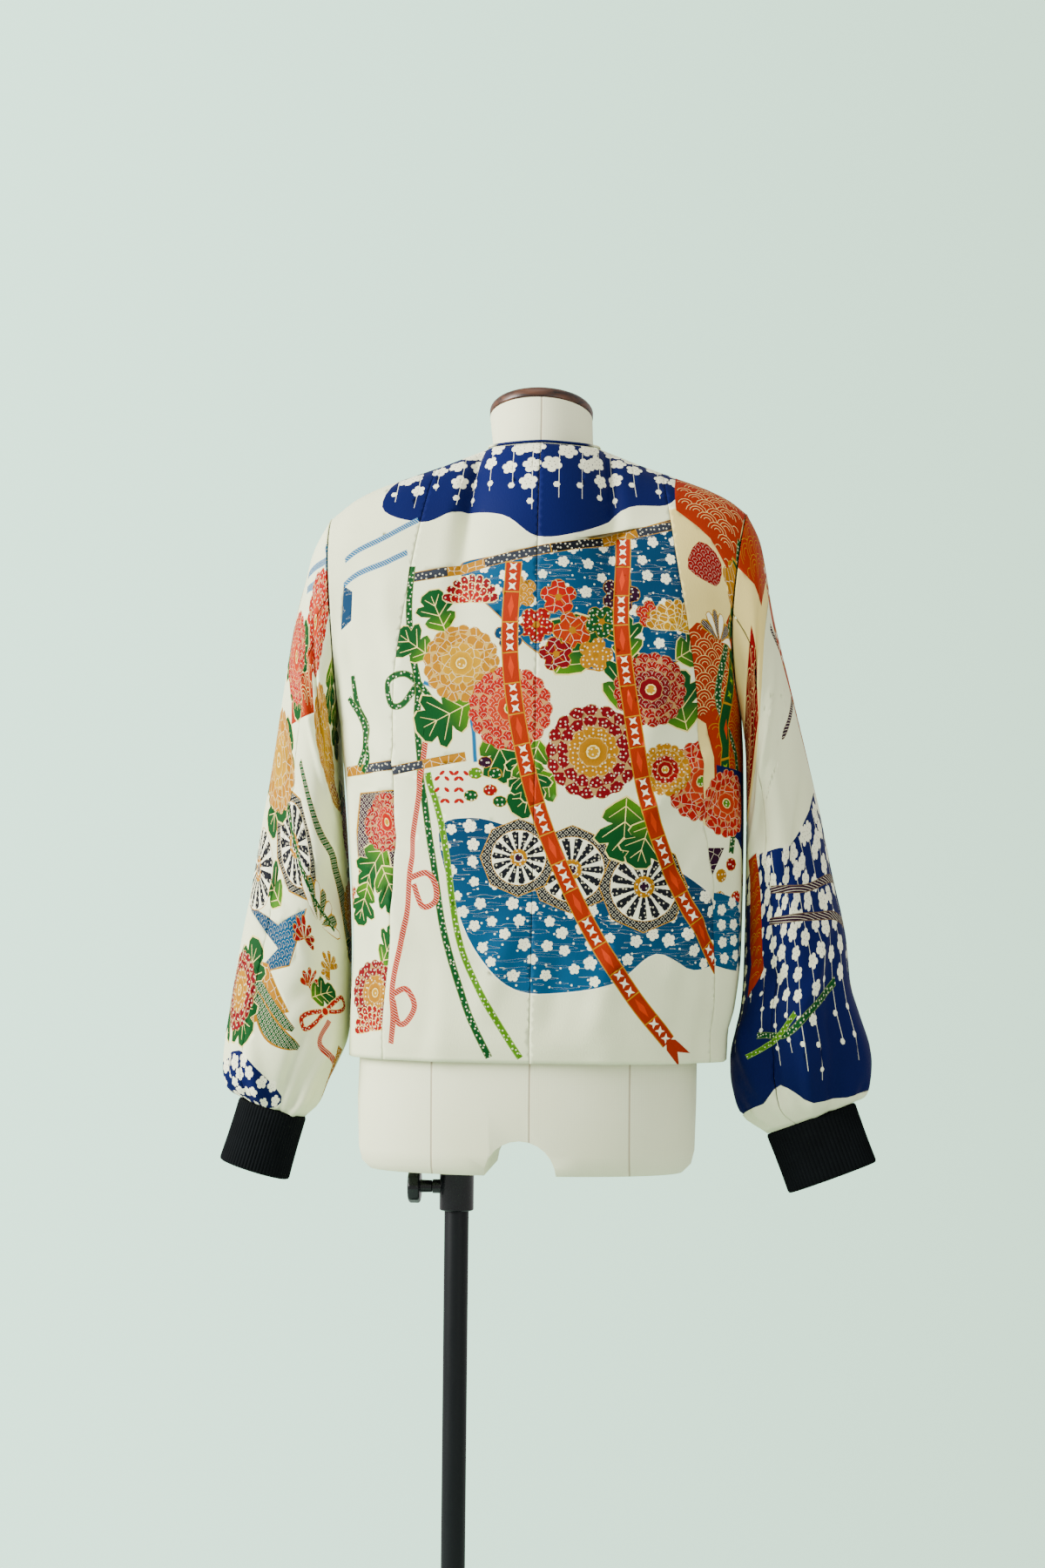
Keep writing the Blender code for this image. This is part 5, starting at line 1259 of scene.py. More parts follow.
def sleeve_cut(cloth, start, stop, columns=41):
    """Flat size and area of a sleeve piece's cut. The print map lays slanted rows level, so it isn't the cut: here each
    strip is as wide as its surface over its length, and from the widest strip near the wrist down to the cuff the
    width stays, because there the cloth is gathered and not cut narrower."""
    rows = []
    for share, line in zip(SLEEVE_SHARES, cloth.grid):
        turns = np.linspace(start(share), stop(share), columns)
        rows.append(np.stack([np.interp(turns, SLEEVE_TURNS, line[:, k]) for k in range(3)], axis=1))
    p = np.array(rows)
    over, down = np.diff(p, axis=1), np.diff(p, axis=0)
    cells = np.linalg.norm(np.cross((over[1:] + over[:-1]) / 2, (down[:, 1:] + down[:, :-1]) / 2), axis=2)
    steps = np.linalg.norm(down, axis=2)
    wide = cells.sum(axis=1) / steps.mean(axis=1)
    wrist = SLEEVE_SHARES[1:] > 0.6
    wide = np.maximum(wide, np.maximum.accumulate(np.where(wrist, wide, 0.0)))
    area = float((wide * steps.mean(axis=1)).sum())
    size = (float(wide.max()), float(steps.sum(axis=0).max()))
    print(f"  cut {size[0] * 100:.1f} by {size[1] * 100:.1f} cm, {area * 1e4:.0f} sq cm flat, "
          f"{cells.sum() * 1e4:.0f} before gathering")
    return size, area


trim = 0.35
for side, word in ((1, "left"), (-1, "right")):
    cloth = sleeves[side]
    seam = lambda s, k=1 if side > 0 else 2: float(table(SLEEVE_SEAM, s, k))
    ways = {"top": ("outer", lambda s: FRONT_SEAM - 360.0 + trim, lambda s: seam(s) - trim),
            "under": ("inner", lambda s: seam(s) + trim, lambda s: FRONT_SEAM - trim)}
    for part, (place, start, stop) in ways.items():
        ob, _, _ = pattern_piece(f"sleeve_{place}_{word}", cloth, sleeve_edge(cloth, start, stop), sleeve_art[side])
        made[f"sleeve_{part}_{word}"] = (ob, *sleeve_cut(cloth, start, stop))

# %% [markdown]
# ## Materials
# The print's colours are already on the cloth. The material adds what is too small to cut out: the dyer's dots, wave
# arcs, crackle lines and tied-dye squares, each in the places marked for it, and the crinkle of crepe. Crepe is woven
# with twisted yarn that shrinks to a pebbled face, so it is matte with a soft sheen.

# %% Node helper
def node(tree, kind, inputs=None, **settings):
    """Adds a node, sets its settings, and sets or links its inputs by name or number."""
    made_node = tree.nodes.new(kind)
    for key, value in settings.items():
        setattr(made_node, key, value)
    for key, value in (inputs or {}).items():
        socket = made_node.inputs[key]
        if isinstance(value, bpy.types.NodeSocket):
            tree.links.new(value, socket)
        else:
            socket.default_value = value
    return made_node


def new_material(name, colour, roughness, **shader_inputs):
    mat = bpy.data.materials.new(name)
    mat.use_nodes = True
    shader = mat.node_tree.nodes["Principled BSDF"]
    shader.inputs["Base Color"].default_value = (*colour, 1.0)
    shader.inputs["Roughness"].default_value = roughness
    for key, value in shader_inputs.items():
        shader.inputs[key.replace("_", " ")].default_value = value
    return mat, mat.node_tree, shader


def colour_mix(tree, factor, a, b):
    return node(tree, "ShaderNodeMix", {0: factor, 6: a, 7: b}, data_type="RGBA").outputs[2]


# %% Printed crepe
DOT_PITCH = 0.0046      # metres between painted dots
WAVE_RADIUS = 0.0064    # metres, one painted wave arc
CRACKLE_SIZE = 0.0088   # metres between crackle lines
KANOKO_PITCH = 0.0046   # metres between tied-dye squares
CORNERWISE = 1.414      # the squares stand on their corners
GRAIN = 0.0016          # metres; the real pebbling is about 0.8 mm and is drawn twice as coarse, so that it shows
crepe, tree, shader = new_material("printed_silk_crepe", CREAM, 0.62, Sheen_Weight=0.01, Sheen_Roughness=0.45,
    Specular_IOR_Level=0.07)
dye = node(tree, "ShaderNodeVertexColor", layer_name="dye").outputs["Color"]
kind = node(tree, "ShaderNodeAttribute", attribute_name="motif", attribute_type="GEOMETRY").outputs["Fac"]
uv = node(tree, "ShaderNodeUVMap", uv_map="flat").outputs["UV"]


def times(vector, number):
    return node(tree, "ShaderNodeVectorMath", {0: vector, "Scale": number}, operation="SCALE").outputs[0]


def maths(operation, a, b=0.0, c=0.0):
    return node(tree, "ShaderNodeMath", {0: a, 1: b, 2: c}, operation=operation).outputs[0]


def here(index):
    return maths("COMPARE", kind, float(index), 0.4)


dots = node(tree, "ShaderNodeTexVoronoi", {"Vector": times(uv, 1.0), "Scale": 1.0 / DOT_PITCH, "Randomness": 0.65},
            voronoi_dimensions="2D").outputs["Distance"]
dot_mask = maths("LESS_THAN", dots, 0.20)
crackle = node(tree, "ShaderNodeTexVoronoi", {"Vector": uv, "Scale": 1.0 / CRACKLE_SIZE, "Randomness": 1.0},
               voronoi_dimensions="2D", feature="DISTANCE_TO_EDGE").outputs["Distance"]
crackle_mask = maths("LESS_THAN", crackle, 0.027)
split = node(tree, "ShaderNodeSeparateXYZ", {0: uv})
x, y = split.outputs[0], split.outputs[1]
row = maths("FLOOR", maths("DIVIDE", y, WAVE_RADIUS * 0.72))
shift = maths("MULTIPLY", maths("MODULO", row, 2.0), 0.5)
cell_x = maths("SUBTRACT", maths("FRACT", maths("ADD", maths("DIVIDE", x, WAVE_RADIUS * 2.0), shift)), 0.5)
cell_y = maths("SUBTRACT", maths("DIVIDE", y, WAVE_RADIUS * 0.72), row)
reach = maths("SQRT", maths("ADD", maths("POWER", maths("MULTIPLY", cell_x, 2.0), 2.0),
    maths("POWER", maths("MULTIPLY", cell_y, 0.72), 2.0)))
wave_mask = maths("LESS_THAN", maths("FRACT", maths("MULTIPLY", reach, 2.0)), 0.09)
square_x = maths("ABSOLUTE", maths("SUBTRACT", maths("FRACT",
    maths("DIVIDE", maths("ADD", x, y), KANOKO_PITCH * CORNERWISE)), 0.5))
square_y = maths("ABSOLUTE", maths("SUBTRACT", maths("FRACT",
    maths("DIVIDE", maths("SUBTRACT", x, y), KANOKO_PITCH * CORNERWISE)), 0.5))
square = maths("MAXIMUM", square_x, square_y)
kanoko_mask = maths("MULTIPLY", maths("LESS_THAN", square, 0.32), maths("GREATER_THAN", square, 0.23))
water = node(tree, "ShaderNodeTexNoise", {"Vector": node(tree, "ShaderNodeVectorMath", {0: uv, 1: (30.0, 230.0, 1.0)},
    operation="MULTIPLY").outputs[0], "Scale": 1.0, "Detail": 1.0}, noise_dimensions="2D").outputs[0]
water_mask = maths("LESS_THAN", maths("ABSOLUTE", maths("SUBTRACT", water, 0.60)), 0.0055)
stripe_mask = maths("LESS_THAN", maths("FRACT", maths("DIVIDE", maths("ADD", x, maths("MULTIPLY", y, 1.6)), 0.0042)),
                    0.22)
paint = maths("MULTIPLY", dot_mask, here(DOTS))
for index, mask in ((WAVES, wave_mask), (CRACKLE, crackle_mask), (KANOKO, kanoko_mask), (WATER, water_mask),
                    (STRIPES, stripe_mask)):
    paint = maths("ADD", paint, maths("MULTIPLY", mask, here(index)))
printed = colour_mix(tree, maths("MULTIPLY", paint, 0.62), dye, (*linear("#F0EBC6"), 1.0))
mottle = node(tree, "ShaderNodeTexNoise", {"Vector": uv, "Scale": 14.0, "Detail": 3.0},
              noise_dimensions="2D").outputs[0]
shade = node(tree, "ShaderNodeMapRange", {"Value": mottle, "From Min": 0.3, "From Max": 0.7, "To Min": 0.94,
    "To Max": 1.03}).outputs[0]
toned = node(tree, "ShaderNodeVectorMath", {0: printed, "Scale": shade}, operation="SCALE").outputs[0]
tree.links.new(toned, shader.inputs["Base Color"])
pebble_at = node(tree, "ShaderNodeVectorMath", {0: uv, 1: (1.0, 0.55, 1.0)}, operation="MULTIPLY").outputs[0]
pebble = node(tree, "ShaderNodeTexNoise", {"Vector": pebble_at, "Scale": 1.0 / GRAIN, "Detail": 2.0,
    "Roughness": 0.55}, noise_dimensions="2D").outputs[0]
bump = node(tree, "ShaderNodeBump", {"Height": pebble, "Strength": 0.22, "Distance": 0.0008})
tree.links.new(bump.outputs[0], shader.inputs["Normal"])
print("printed crepe:", len(tree.nodes), "nodes")

# %% [markdown]
# The other finishes: a rib knit for the cuffs, linen stretched over the form with its sewn seams, varnished walnut,
# painted steel with a few rubbed marks, and moulded black plastic.

# %% Knit, linen, walnut, steel and plastic
knit, tree, shader = new_material("black_rib_knit", linear("#090B0C"), 0.85, Sheen_Weight=0.01, Sheen_Roughness=0.5,
    Specular_IOR_Level=0.05)
at = node(tree, "ShaderNodeTexCoord").outputs["Object"]
stitch = node(tree, "ShaderNodeTexWave", {"Vector": at, "Scale": 420.0, "Distortion": 1.5, "Detail": 1.0},
              bands_direction="Z").outputs["Fac"]
tree.links.new(node(tree, "ShaderNodeBump", {"Height": stitch, "Strength": 0.35, "Distance": 0.0004}).outputs[0],
               shader.inputs["Normal"])
fade = node(tree, "ShaderNodeTexNoise", {"Vector": at, "Scale": 60.0, "Detail": 2.0}).outputs[0]
tree.links.new(colour_mix(tree, fade, (*linear("#07090A"), 1), (*linear("#0E1113"), 1)), shader.inputs["Base Color"])

THREAD = 0.0011  # metres; real linen thread here is about 0.5 mm
linen, tree, shader = new_material("stretched_linen", linear("#E6E9C4"), 0.82, Sheen_Weight=0.03,
    Specular_IOR_Level=0.2)
at = node(tree, "ShaderNodeTexCoord").outputs["Object"]
warp = node(tree, "ShaderNodeTexWave", {"Vector": at, "Scale": 0.5 / THREAD * 0.314, "Distortion": 0.8,
    "Detail": 1.0}, bands_direction="X").outputs["Fac"]
weft = node(tree, "ShaderNodeTexWave", {"Vector": at, "Scale": 0.5 / THREAD * 0.314, "Distortion": 0.8,
    "Detail": 1.0}, bands_direction="Z").outputs["Fac"]
weave = node(tree, "ShaderNodeMath", {0: warp, 1: weft}, operation="ADD").outputs[0]
split = node(tree, "ShaderNodeSeparateXYZ", {0: at})


def seam_line(place):
    off = node(tree, "ShaderNodeMath", {0: split.outputs[0], 1: place}, operation="SUBTRACT").outputs[0]
    near = node(tree, "ShaderNodeMath", {0: off}, operation="ABSOLUTE").outputs[0]
    return node(tree, "ShaderNodeMapRange", {"Value": near, "From Min": 0.0004, "From Max": 0.0012, "To Min": 1.0,
        "To Max": 0.0}).outputs[0]


seams = None
for place in (0.001, 0.100, -0.098):
    one = seam_line(place)
    seams = one if seams is None else node(tree, "ShaderNodeMath", {0: seams, 1: one}, operation="MAXIMUM").outputs[0]
stain = node(tree, "ShaderNodeTexNoise", {"Vector": at, "Scale": 9.0, "Detail": 4.0}).outputs[0]
cloth_tone = colour_mix(tree, stain, (*linear("#DEE0B6"), 1), (*linear("#EBEECB"), 1))
tree.links.new(colour_mix(tree, seams, cloth_tone, (*linear("#B4A98C"), 1)), shader.inputs["Base Color"])
weave_bump = node(tree, "ShaderNodeBump", {"Height": weave, "Strength": 0.12, "Distance": 0.0003}).outputs[0]
seam_bump = node(tree, "ShaderNodeBump", {"Height": seams, "Strength": 0.5, "Distance": 0.0008, "Normal": weave_bump},
                 invert=True).outputs[0]
tree.links.new(seam_bump, shader.inputs["Normal"])

walnut, tree, shader = new_material("varnished_walnut", linear("#321E12"), 0.38, Coat_Weight=0.2, Coat_Roughness=0.25,
    Specular_IOR_Level=0.3)
at = node(tree, "ShaderNodeTexCoord").outputs["Object"]
grain_at = node(tree, "ShaderNodeMapping", {"Vector": at, "Scale": (14.0, 120.0, 160.0)}).outputs[0]
grain = node(tree, "ShaderNodeTexNoise", {"Vector": grain_at, "Scale": 1.0, "Detail": 5.0,
    "Distortion": 0.8}).outputs[0]
sharp = node(tree, "ShaderNodeMapRange", {"Value": grain, "From Min": 0.35, "From Max": 0.68}).outputs[0]
tree.links.new(colour_mix(tree, sharp, (*linear("#1A0E08"), 1), (*linear("#54301A"), 1)), shader.inputs["Base Color"])
tree.links.new(node(tree, "ShaderNodeBump", {"Height": grain, "Strength": 0.15, "Distance": 0.0005}).outputs[0],
               shader.inputs["Normal"])

steel, tree, shader = new_material("black_painted_steel", linear("#0A0D0F"), 0.42, Specular_IOR_Level=0.16)
at = node(tree, "ShaderNodeTexCoord").outputs["Object"]
peel = node(tree, "ShaderNodeTexNoise", {"Vector": at, "Scale": 260.0, "Detail": 2.0}).outputs[0]
tree.links.new(node(tree, "ShaderNodeBump", {"Height": peel, "Strength": 0.08, "Distance": 0.0004}).outputs[0],
               shader.inputs["Normal"])
rub_at = node(tree, "ShaderNodeMapping", {"Vector": at, "Scale": (60.0, 60.0, 9.0),
    "Rotation": (0.2, 0.0, 0.0)}).outputs[0]
rubbed = node(tree, "ShaderNodeTexNoise", {"Vector": rub_at, "Scale": 1.0, "Detail": 6.0, "Roughness": 0.7}).outputs[0]
marks = node(tree, "ShaderNodeMapRange", {"Value": rubbed, "From Min": 0.70, "From Max": 0.76}).outputs[0]
tree.links.new(colour_mix(tree, marks, (*linear("#0A0D0F"), 1), (*linear("#343A3C"), 1)), shader.inputs["Base Color"])
tree.links.new(node(tree, "ShaderNodeMapRange", {"Value": rubbed, "From Min": 0.3, "From Max": 0.7, "To Min": 0.34,
    "To Max": 0.50}).outputs[0], shader.inputs["Roughness"])

plastic, tree, shader = new_material("moulded_black_plastic", linear("#0B0D0F"), 0.24, Specular_IOR_Level=0.3)
at = node(tree, "ShaderNodeTexCoord").outputs["Object"]
haze = node(tree, "ShaderNodeTexNoise", {"Vector": at, "Scale": 90.0, "Detail": 3.0}).outputs[0]
tree.links.new(node(tree, "ShaderNodeMapRange", {"Value": haze, "From Min": 0.3, "From Max": 0.7, "To Min": 0.20,
    "To Max": 0.32}).outputs[0], shader.inputs["Roughness"])
tree.links.new(node(tree, "ShaderNodeBump", {"Height": haze, "Strength": 0.05, "Distance": 0.0003}).outputs[0],
               shader.inputs["Normal"])
print("finishes:", [m.name for m in (crepe, knit, linen, walnut, steel, plastic)])

# %% [markdown]
# ## Cuffs
# A rib knit cuff is a doubled tube whose ribs stand up from a plain inside. The ribs repeat by a rule, so Geometry
# Nodes raise them: each point knows how far round it is, and the tree lifts it along the cloth's normal.

# %% Rib tree
RIBS = 66


def rib_tree(material):
    tree = bpy.data.node_groups.new("knit_ribs", "GeometryNodeTree")
    face = tree.interface
    face.new_socket("Geometry", in_out="INPUT", socket_type="NodeSocketGeometry")
    for name, value in (("Ribs", float(RIBS)), ("Rib height", 0.0011)):
        face.new_socket(name, in_out="INPUT", socket_type="NodeSocketFloat").default_value = value
    face.new_socket("Geometry", in_out="OUTPUT", socket_type="NodeSocketGeometry")
    given = tree.nodes.new("NodeGroupInput")
    turn = node(tree, "GeometryNodeInputNamedAttribute", {"Name": "turn"}, data_type="FLOAT").outputs["Attribute"]
    lift = node(tree, "GeometryNodeInputNamedAttribute", {"Name": "lift"}, data_type="FLOAT").outputs["Attribute"]
    phase = node(tree, "ShaderNodeMath", {0: turn, 1: given.outputs["Ribs"]}, operation="MULTIPLY").outputs[0]
    half = node(tree, "ShaderNodeMath", {0: phase, 1: math.pi}, operation="MULTIPLY").outputs[0]
    wave = node(tree, "ShaderNodeMath", {0: node(tree, "ShaderNodeMath", {0: half}, operation="SINE").outputs[0]},
                operation="ABSOLUTE").outputs[0]
    round_ = node(tree, "ShaderNodeMath", {0: wave, 1: 0.7}, operation="POWER").outputs[0]
    height = node(tree, "ShaderNodeMath", {0: round_, 1: given.outputs["Rib height"]}, operation="MULTIPLY").outputs[0]
    raised = node(tree, "ShaderNodeMath", {0: height, 1: lift}, operation="MULTIPLY").outputs[0]
    normal = node(tree, "GeometryNodeInputNormal").outputs[0]
    move = node(tree, "ShaderNodeVectorMath", {0: normal, "Scale": raised}, operation="SCALE").outputs[0]
    placed = node(tree, "GeometryNodeSetPosition", {"Geometry": given.outputs["Geometry"], "Offset": move}).outputs[0]
    whole = node(tree, "GeometryNodeRealizeInstances", {"Geometry": placed}).outputs[0]
    dressed = node(tree, "GeometryNodeSetMaterial", {"Geometry": whole, "Material": material}).outputs[0]
    out = tree.nodes.new("NodeGroupOutput")
    tree.links.new(dressed, out.inputs["Geometry"])
    return tree


ribs = rib_tree(knit)


def knit_cuff(side, name):
    tx, tz, bx, bz, half_top, half_bottom, depth_top, depth_bottom = CUFFS[side]
    axis = np.array([bx - tx, bz - tz])
    axis /= np.linalg.norm(axis)
    sideways = np.array([-axis[1], axis[0]])
    count, verts, turns, lifts = RIBS * 6, [], [], []
    rim = CUFF_WALL / 2
    # drop from the outer surface and share of the length, round the wall from the top edge down and up inside
    profile = [(0.0014, 0.000, 0.0), (0.0004, 0.006, 0.4)] + [(0.0, t, 1.0) for t in np.linspace(0.04, 0.955, 12)]
    profile += [(0.0003, 0.985, 0.6), (0.0014, 1.0, 0.1), (0.0026, 0.985, 0.0)] + [(0.0028, t, 0.0)
        for t in (0.9, 0.6, 0.3, 0.02)]
    for drop, t, lift in profile:
        mx, mz = tx + (bx - tx) * t, tz + (bz - tz) * t
        sag = 0.0012 * math.sin(math.pi * t)
        half = half_top + (half_bottom - half_top) * t - drop - 0.0011 - sag * 0.4
        depth = depth_top + (depth_bottom - depth_top) * t - drop - 0.0011
        for j in range(count):
            a = 2 * math.pi * j / count
            u = half * math.cos(a)
            verts.append((side * (mx + sideways[0] * u), -0.004 + depth * math.sin(a), mz + sideways[1] * u))
            turns.append(j / count)
            lifts.append(lift)
    faces = []
    rows = len(profile)
    for i in range(rows):
        for j in range(count):
            k, n = (j + 1) % count, (i + 1) % rows
            faces.append((i * count + j, n * count + j, n * count + k, i * count + k))
    mesh = bpy.data.meshes.new(name)
    mesh.from_pydata(verts, [], faces)
    work = bmesh.new()
    work.from_mesh(mesh)
    bmesh.ops.recalc_face_normals(work, faces=work.faces)
    work.to_mesh(mesh)
    work.free()
    for key, values in (("turn", turns), ("lift", lifts)):
        mesh.attributes.new(key, "FLOAT", "POINT").data.foreach_set("value", values)
    mesh.polygons.foreach_set("use_smooth", [True] * len(mesh.polygons))
    ob = bpy.data.objects.new(name, mesh)
    bpy.context.scene.collection.objects.link(ob)
    modifier = ob.modifiers.new("ribs", "NODES")
    modifier.node_group = ribs
    height = next(s for s in ribs.interface.items_tree if s.name == "Rib height")
    modifier[height.identifier] = 0.0011
    bpy.context.view_layer.update()
    result = bpy.data.meshes.new_from_object(ob.evaluated_get(bpy.context.evaluated_depsgraph_get()))
    ob.modifiers.clear()
    ob.data = result
    round_size = 2 * math.pi * math.sqrt((half_top**2 + depth_top**2) / 2)
    length = float(np.hypot(bx - tx, bz - tz))
    print(f"{name}: {RIBS} ribs, {round_size * 1000:.0f} mm round, {length * 1000:.0f} mm long, "
          f"{len(result.polygons)} faces")
    return ob, (round_size, length)


cuffs = {word: knit_cuff(side, "knit_cuff_" + word) for side, word in ((1, "left"), (-1, "right"))}

# %% [markdown]
# ## Neck binding
# The raw neck edge is bound with a narrow strip cut from the same printed crepe: it wraps over the edge from the right
# side to the wrong side. Its section is an open loop of thin cloth, and we sweep that along the neckline.

# %% Binding
BINDING_WIDTH, BINDING_HEIGHT, BINDING_WALL = 0.0028, 0.0032, 0.0005


def bound_neck(name):
    back, front = NECK_SHARE[1], NECK_SHARE[-1]
    runs = [(1, -1, np.linspace(0.0, front, 41)[:-1]), (1, 1, np.linspace(back, 0.0, 25)[:-1]),
            (-1, 1, np.linspace(0.0, back, 25)[:-1]), (-1, -1, np.linspace(front, 0.0, 41))]
    points = np.concatenate([body_row(side, face, shares, 2.0) for side, face, shares in runs])
    lifts = collar_way(points)
    lifts /= np.linalg.norm(lifts, axis=1)[:, None]
    for _ in range(12):
        lifts[1:-1] = (lifts[:-2] + 2 * lifts[1:-1] + lifts[2:]) / 4
        points[1:-1] = (points[:-2] + 6 * points[1:-1] + points[2:]) / 8
    along = np.gradient(points, axis=0)
    along /= np.linalg.norm(along, axis=1)[:, None]
    lifts -= along * np.sum(lifts * along, axis=1)[:, None]
    lifts /= np.linalg.norm(lifts, axis=1)[:, None]
    outward = np.cross(along, lifts)
    angles = np.radians(np.linspace(-62, 242, 17))
    section = [(math.cos(a), math.sin(a), 0.0) for a in angles] + [(math.cos(a), math.sin(a), BINDING_WALL)
        for a in angles[::-1]]
    verts = []
    for p, lift, out in zip(points, lifts, outward):
        for c, s, wall in section:
            verts.append(p + lift * (SEAM_GAP + BINDING_HEIGHT / 2 + 0.0007 + (BINDING_HEIGHT / 2 - wall) * s)
                + out * (BINDING_WIDTH / 2 - wall) * c)
    n, m = len(points), len(section)
    faces = [(i * m + j, i * m + (j + 1) % m, (i + 1) * m + (j + 1) % m, (i + 1) * m + j) for i in range(n - 1)
             for j in range(m)]
    half = m // 2
    for i, flip in ((0, False), (n - 1, True)):
        for j in range(half - 1):
            face = [i * m + j, i * m + j + 1, i * m + m - 2 - j, i * m + m - 1 - j]
            faces.append(face if flip else face[::-1])
    mesh = bpy.data.meshes.new(name)
    mesh.from_pydata([tuple(v) for v in verts], [], faces)
    length = np.concatenate([[0.0], np.cumsum(np.linalg.norm(np.diff(points, axis=0), axis=1))])
    loop_verts = np.zeros(len(mesh.loops), dtype=np.int32)
    mesh.loops.foreach_get("vertex_index", loop_verts)
    uv_map = mesh.uv_layers.new(name="flat")
    flat = np.stack([length[loop_verts // m], 0.0005 * (loop_verts % m)], axis=1)
    uv_map.data.foreach_set("uv", flat.ravel())
    # the strip's print: royal blue behind, cream with touches of gold and blue to the front
    dye = mesh.color_attributes.new("dye", "FLOAT_COLOR", "CORNER")
    dice = random.Random(41)
    stations = []
    for i, p in enumerate(points):
        behind_share = smooth(0.016, 0.028, p[1])
        colour = np.array(CREAM) * (1 - behind_share) + np.array(ROYAL) * behind_share
        stations.append(colour)
    for start in (9, 17, 30, 96, 108, 121):
        tint = dice.choice((GOLD, ROYAL, ORANGE))
        for i in range(start, start + 4):
            stations[i] = np.array(tint)
    stations = np.array(stations)
    colours = np.ones((len(mesh.loops), 4), dtype=np.float32)
    colours[:, :3] = stations[loop_verts // m]
    dye.data.foreach_set("color", colours.ravel())
    mesh.attributes.new("motif", "FLOAT", "FACE")
    work = bmesh.new()
    work.from_mesh(mesh)
    bmesh.ops.recalc_face_normals(work, faces=work.faces)
    work.to_mesh(mesh)
    work.free()
    mesh.polygons.foreach_set("use_smooth", [True] * len(mesh.polygons))
    mesh.materials.append(crepe)
    ob = bpy.data.objects.new(name, mesh)
    bpy.context.scene.collection.objects.link(ob)
    width = math.pi * (BINDING_WIDTH + BINDING_HEIGHT) / 2 * 304 / 360
    print(f"{name}: strip {width * 1000:.1f} by {length[-1] * 1000:.0f} mm, {len(mesh.polygons)} faces")
    return ob, (width, float(length[-1]))


binding, binding_size = bound_neck("bound_neck_edge")

# %% [markdown]
# ## Form and stand
# The hard pieces already have their shapes in the solids. Each gets a copy of its node's mesh with the loose
# triangles merged, a small rounding on its edges, which catches the light as a real edge does, and smooth shading.

# %% Form, cap, pole, base, socket and knob
def finished(source, name, material, rounding, sharp=32.0):
    work = bmesh.new()
    work.from_mesh(frame["nodes"][source].data)
    bmesh.ops.transform(work, matrix=frame["nodes"][source].matrix_world, verts=work.verts)
    bmesh.ops.remove_doubles(work, verts=work.verts, dist=1e-5)
    bmesh.ops.dissolve_limit(work, angle_limit=math.radians(0.6), verts=work.verts, edges=work.edges)
    mesh = bpy.data.meshes.new(name)
    work.to_mesh(mesh)
    work.free()
    mesh.materials.clear()
    mesh.materials.append(material)
    ob = bpy.data.objects.new(name, mesh)
    bpy.context.scene.collection.objects.link(ob)
    if rounding:
        bevel = ob.modifiers.new("edge", "BEVEL")
        bevel.width, bevel.segments = rounding, 2
        bevel.limit_method, bevel.angle_limit = "ANGLE", math.radians(sharp)
        bevel.harden_normals = False
    bpy.context.view_layer.update()
    mesh = bpy.data.meshes.new_from_object(ob.evaluated_get(bpy.context.evaluated_depsgraph_get()))
    ob.modifiers.clear()
    ob.data = mesh
    mesh.polygons.foreach_set("use_smooth", [True] * len(mesh.polygons))
    mesh.set_sharp_from_angle(angle=math.radians(sharp))
    print(f"{name}: {len(mesh.polygons)} faces")
    return ob


hard = {
    "form_body": finished("form_body", "linen_form", linen, 0.0010, 40.0),
    "neck_cap": finished("neck_cap", "walnut_neck_cap", walnut, 0.0012),
    "pole": finished("pole", "steel_pole", steel, 0.0008),
    "stand_base": finished("stand_base", "steel_base", steel, 0.0010),
    "socket": finished("socket", "pole_socket", plastic, 0.0008),
    "knob": finished("knob", "clamp_knob", plastic, 0.0008),
}

# %% [markdown]
# ## Everything rides its body
# The jacket and the form slide up the pole together, so the cloth, cuffs, binding, cap and socket ride one body with
# the form.

# %% Rides and materials
for source, (ob, flat, area) in made.items():
    ob.data.materials.clear()
    ob.data.materials.append(crepe)
    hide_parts(source)
    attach(ob, "form")
    if source.startswith("sleeve"):
        held, on = "gathered", ["front_panel_" + source.split("_")[-1], "knit_cuff_" + source.split("_")[-1]]
    else:
        held, on = "hung", ["linen_form"]
    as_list(on)
for word, (ob, flat) in cuffs.items():
    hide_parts("cuff_" + word)
    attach(ob, "form")
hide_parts("neck_binding")
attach(binding, "form")
for source, body_name, finish in (("form_body", "form", "form_linen"), ("neck_cap", "form", "walnut"),
    ("socket", "form", "black_plastic"), ("pole", "stand", "black_steel"), ("stand_base", "stand", "black_steel"),
    ("knob", "knob", "black_plastic")):
    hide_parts(source)
    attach(hard[source], body_name)

# %% [markdown]
# ## Floor, light and camera
# A pale round floor under the stand, a pale grey-green room, one large soft light from the picture's left with weaker
# fill from the right and above, and a long lens level with the jacket's middle.

# %% Stage
work = bmesh.new()
bmesh.ops.create_circle(work, cap_ends=True, segments=128, radius=1.15)
floor_mesh = bpy.data.meshes.new("floor")
work.to_mesh(floor_mesh)
work.free()
floor = bpy.data.objects.new("floor", floor_mesh)
bpy.context.scene.collection.objects.link(floor)
plaster, tree, shader = new_material("pale_floor", linear("#BAD8C6"), 0.8)
cloudy = node(tree, "ShaderNodeTexNoise", {"Vector": node(tree, "ShaderNodeTexCoord").outputs["Object"], "Scale": 6.0,
    "Detail": 4.0}).outputs[0]
tree.links.new(colour_mix(tree, cloudy, (*linear("#B6D4C2"), 1), (*linear("#BFDCCB"), 1)), shader.inputs["Base Color"])
floor_mesh.materials.append(plaster)

room = bpy.data.worlds.new("pale_room")
room.use_nodes = True
tree = room.node_tree
light_in = tree.nodes["Background"]
light_in.inputs["Color"].default_value = (1.0, 1.0, 0.97, 1)
light_in.inputs["Strength"].default_value = 0.90
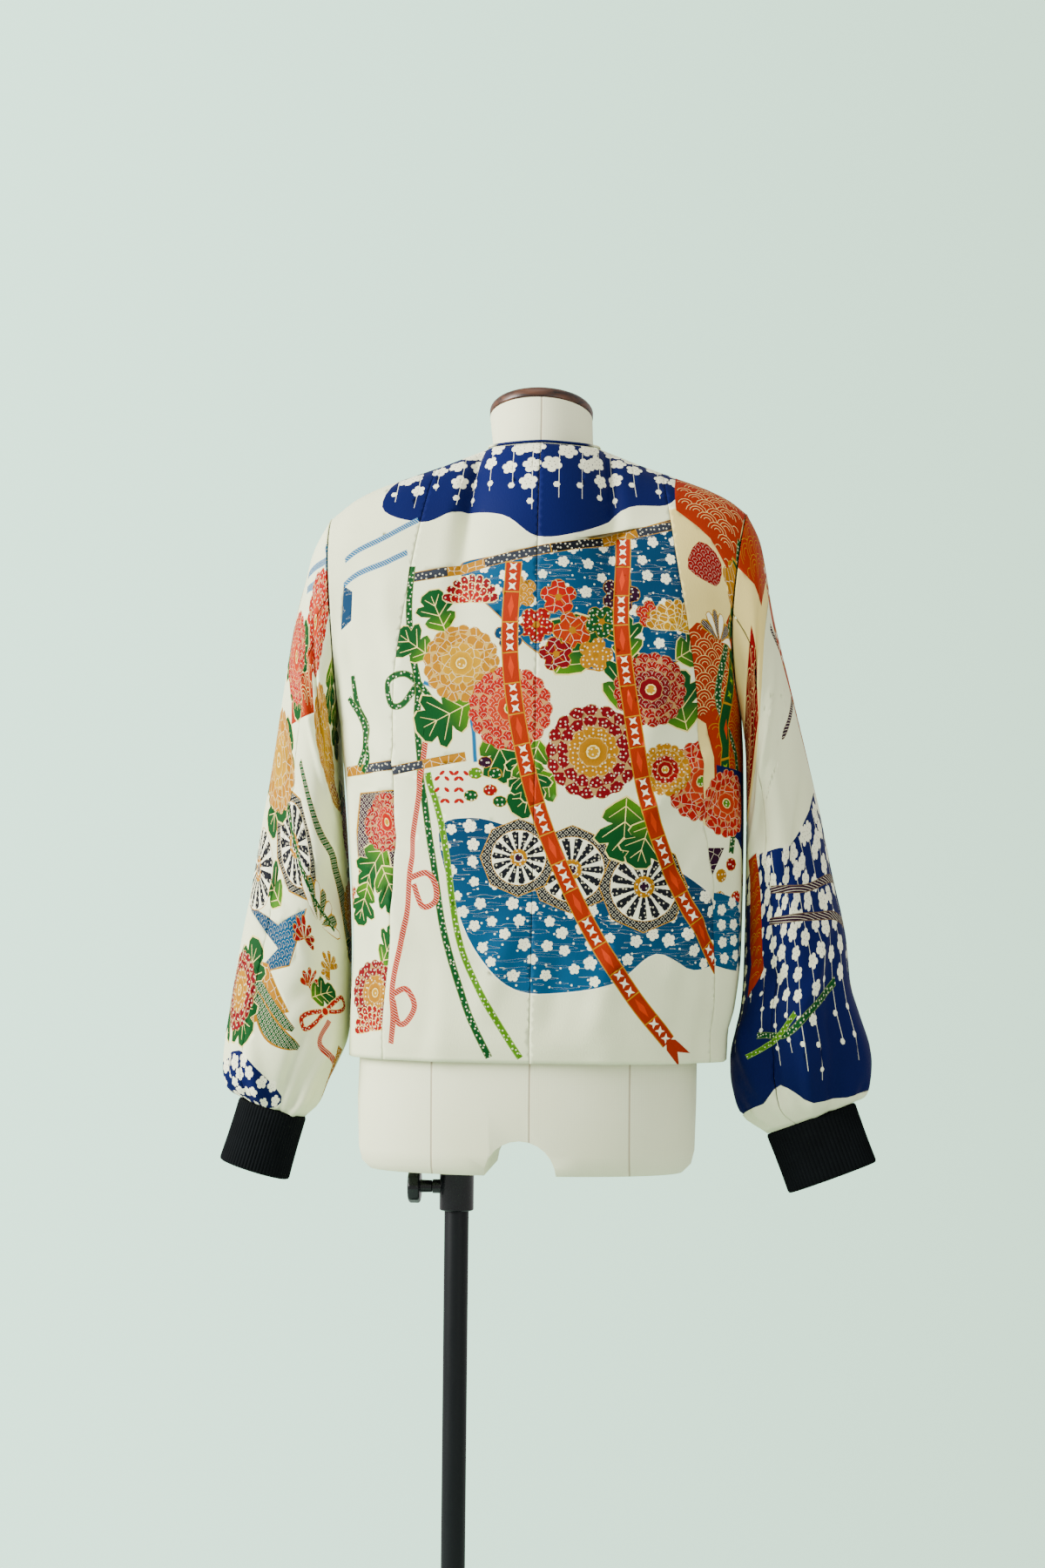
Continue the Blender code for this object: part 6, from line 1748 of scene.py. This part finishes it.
# the wall that is seen is a little brighter than its light on the jacket, and fades from the window to the right
way = node(tree, "ShaderNodeSeparateXYZ", {0: node(tree, "ShaderNodeTexCoord").outputs["Generated"]}).outputs[0]
fade = node(tree, "ShaderNodeMapRange", {"Value": way, "From Min": -0.06, "From Max": 0.21}).outputs[0]
wall = colour_mix(tree, fade, (0.60, 0.92, 0.69, 1), (0.82, 1.30, 1.01, 1))
seen = node(tree, "ShaderNodeBackground", {"Color": wall, "Strength": 2.0}).outputs[0]
both = node(tree, "ShaderNodeMixShader", {0: node(tree, "ShaderNodeLightPath").outputs["Is Camera Ray"],
    1: light_in.outputs[0], 2: seen}).outputs[0]
tree.links.new(both, tree.nodes["World Output"].inputs["Surface"])
bpy.context.scene.world = room


def soft_light(name, place, target, size, power, colour):
    lamp = bpy.data.lights.new(name, "AREA")
    lamp.shape, lamp.size, lamp.energy, lamp.color = "DISK", size, power, colour
    ob = bpy.data.objects.new(name, lamp)
    ob.location = place
    ob.rotation_euler = (Vector(target) - Vector(place)).to_track_quat("-Z", "Y").to_euler()
    bpy.context.scene.collection.objects.link(ob)


soft_light("window", (3.2, 1.3, 2.1), (0.0, 0.0, 1.1), 2.0, 380.0, (1.0, 1.0, 0.98))
soft_light("fill", (-2.2, 3.0, 1.6), (0.0, 0.0, 1.1), 2.0, 30.0, (0.97, 1.0, 0.98))
soft_light("top", (0.3, 0.9, 3.4), (0.0, 0.0, 1.1), 1.6, 16.0, (1.0, 1.0, 1.0))

lens = bpy.data.cameras.new("camera")
lens.lens, lens.sensor_fit, lens.sensor_height = 90.0, "VERTICAL", 36.0
camera = bpy.data.objects.new("camera", lens)
camera.location = (-0.295, 3.988, 1.07)
look = (Vector((0.019, 0.0, 1.07)) - camera.location).to_track_quat("-Z", "Y")
camera.rotation_mode = "QUATERNION"
camera.rotation_quaternion = look @ Matrix.Rotation(math.radians(0.6), 3, "Z").to_quaternion()
bpy.context.scene.collection.objects.link(camera)
bpy.context.scene.camera = camera
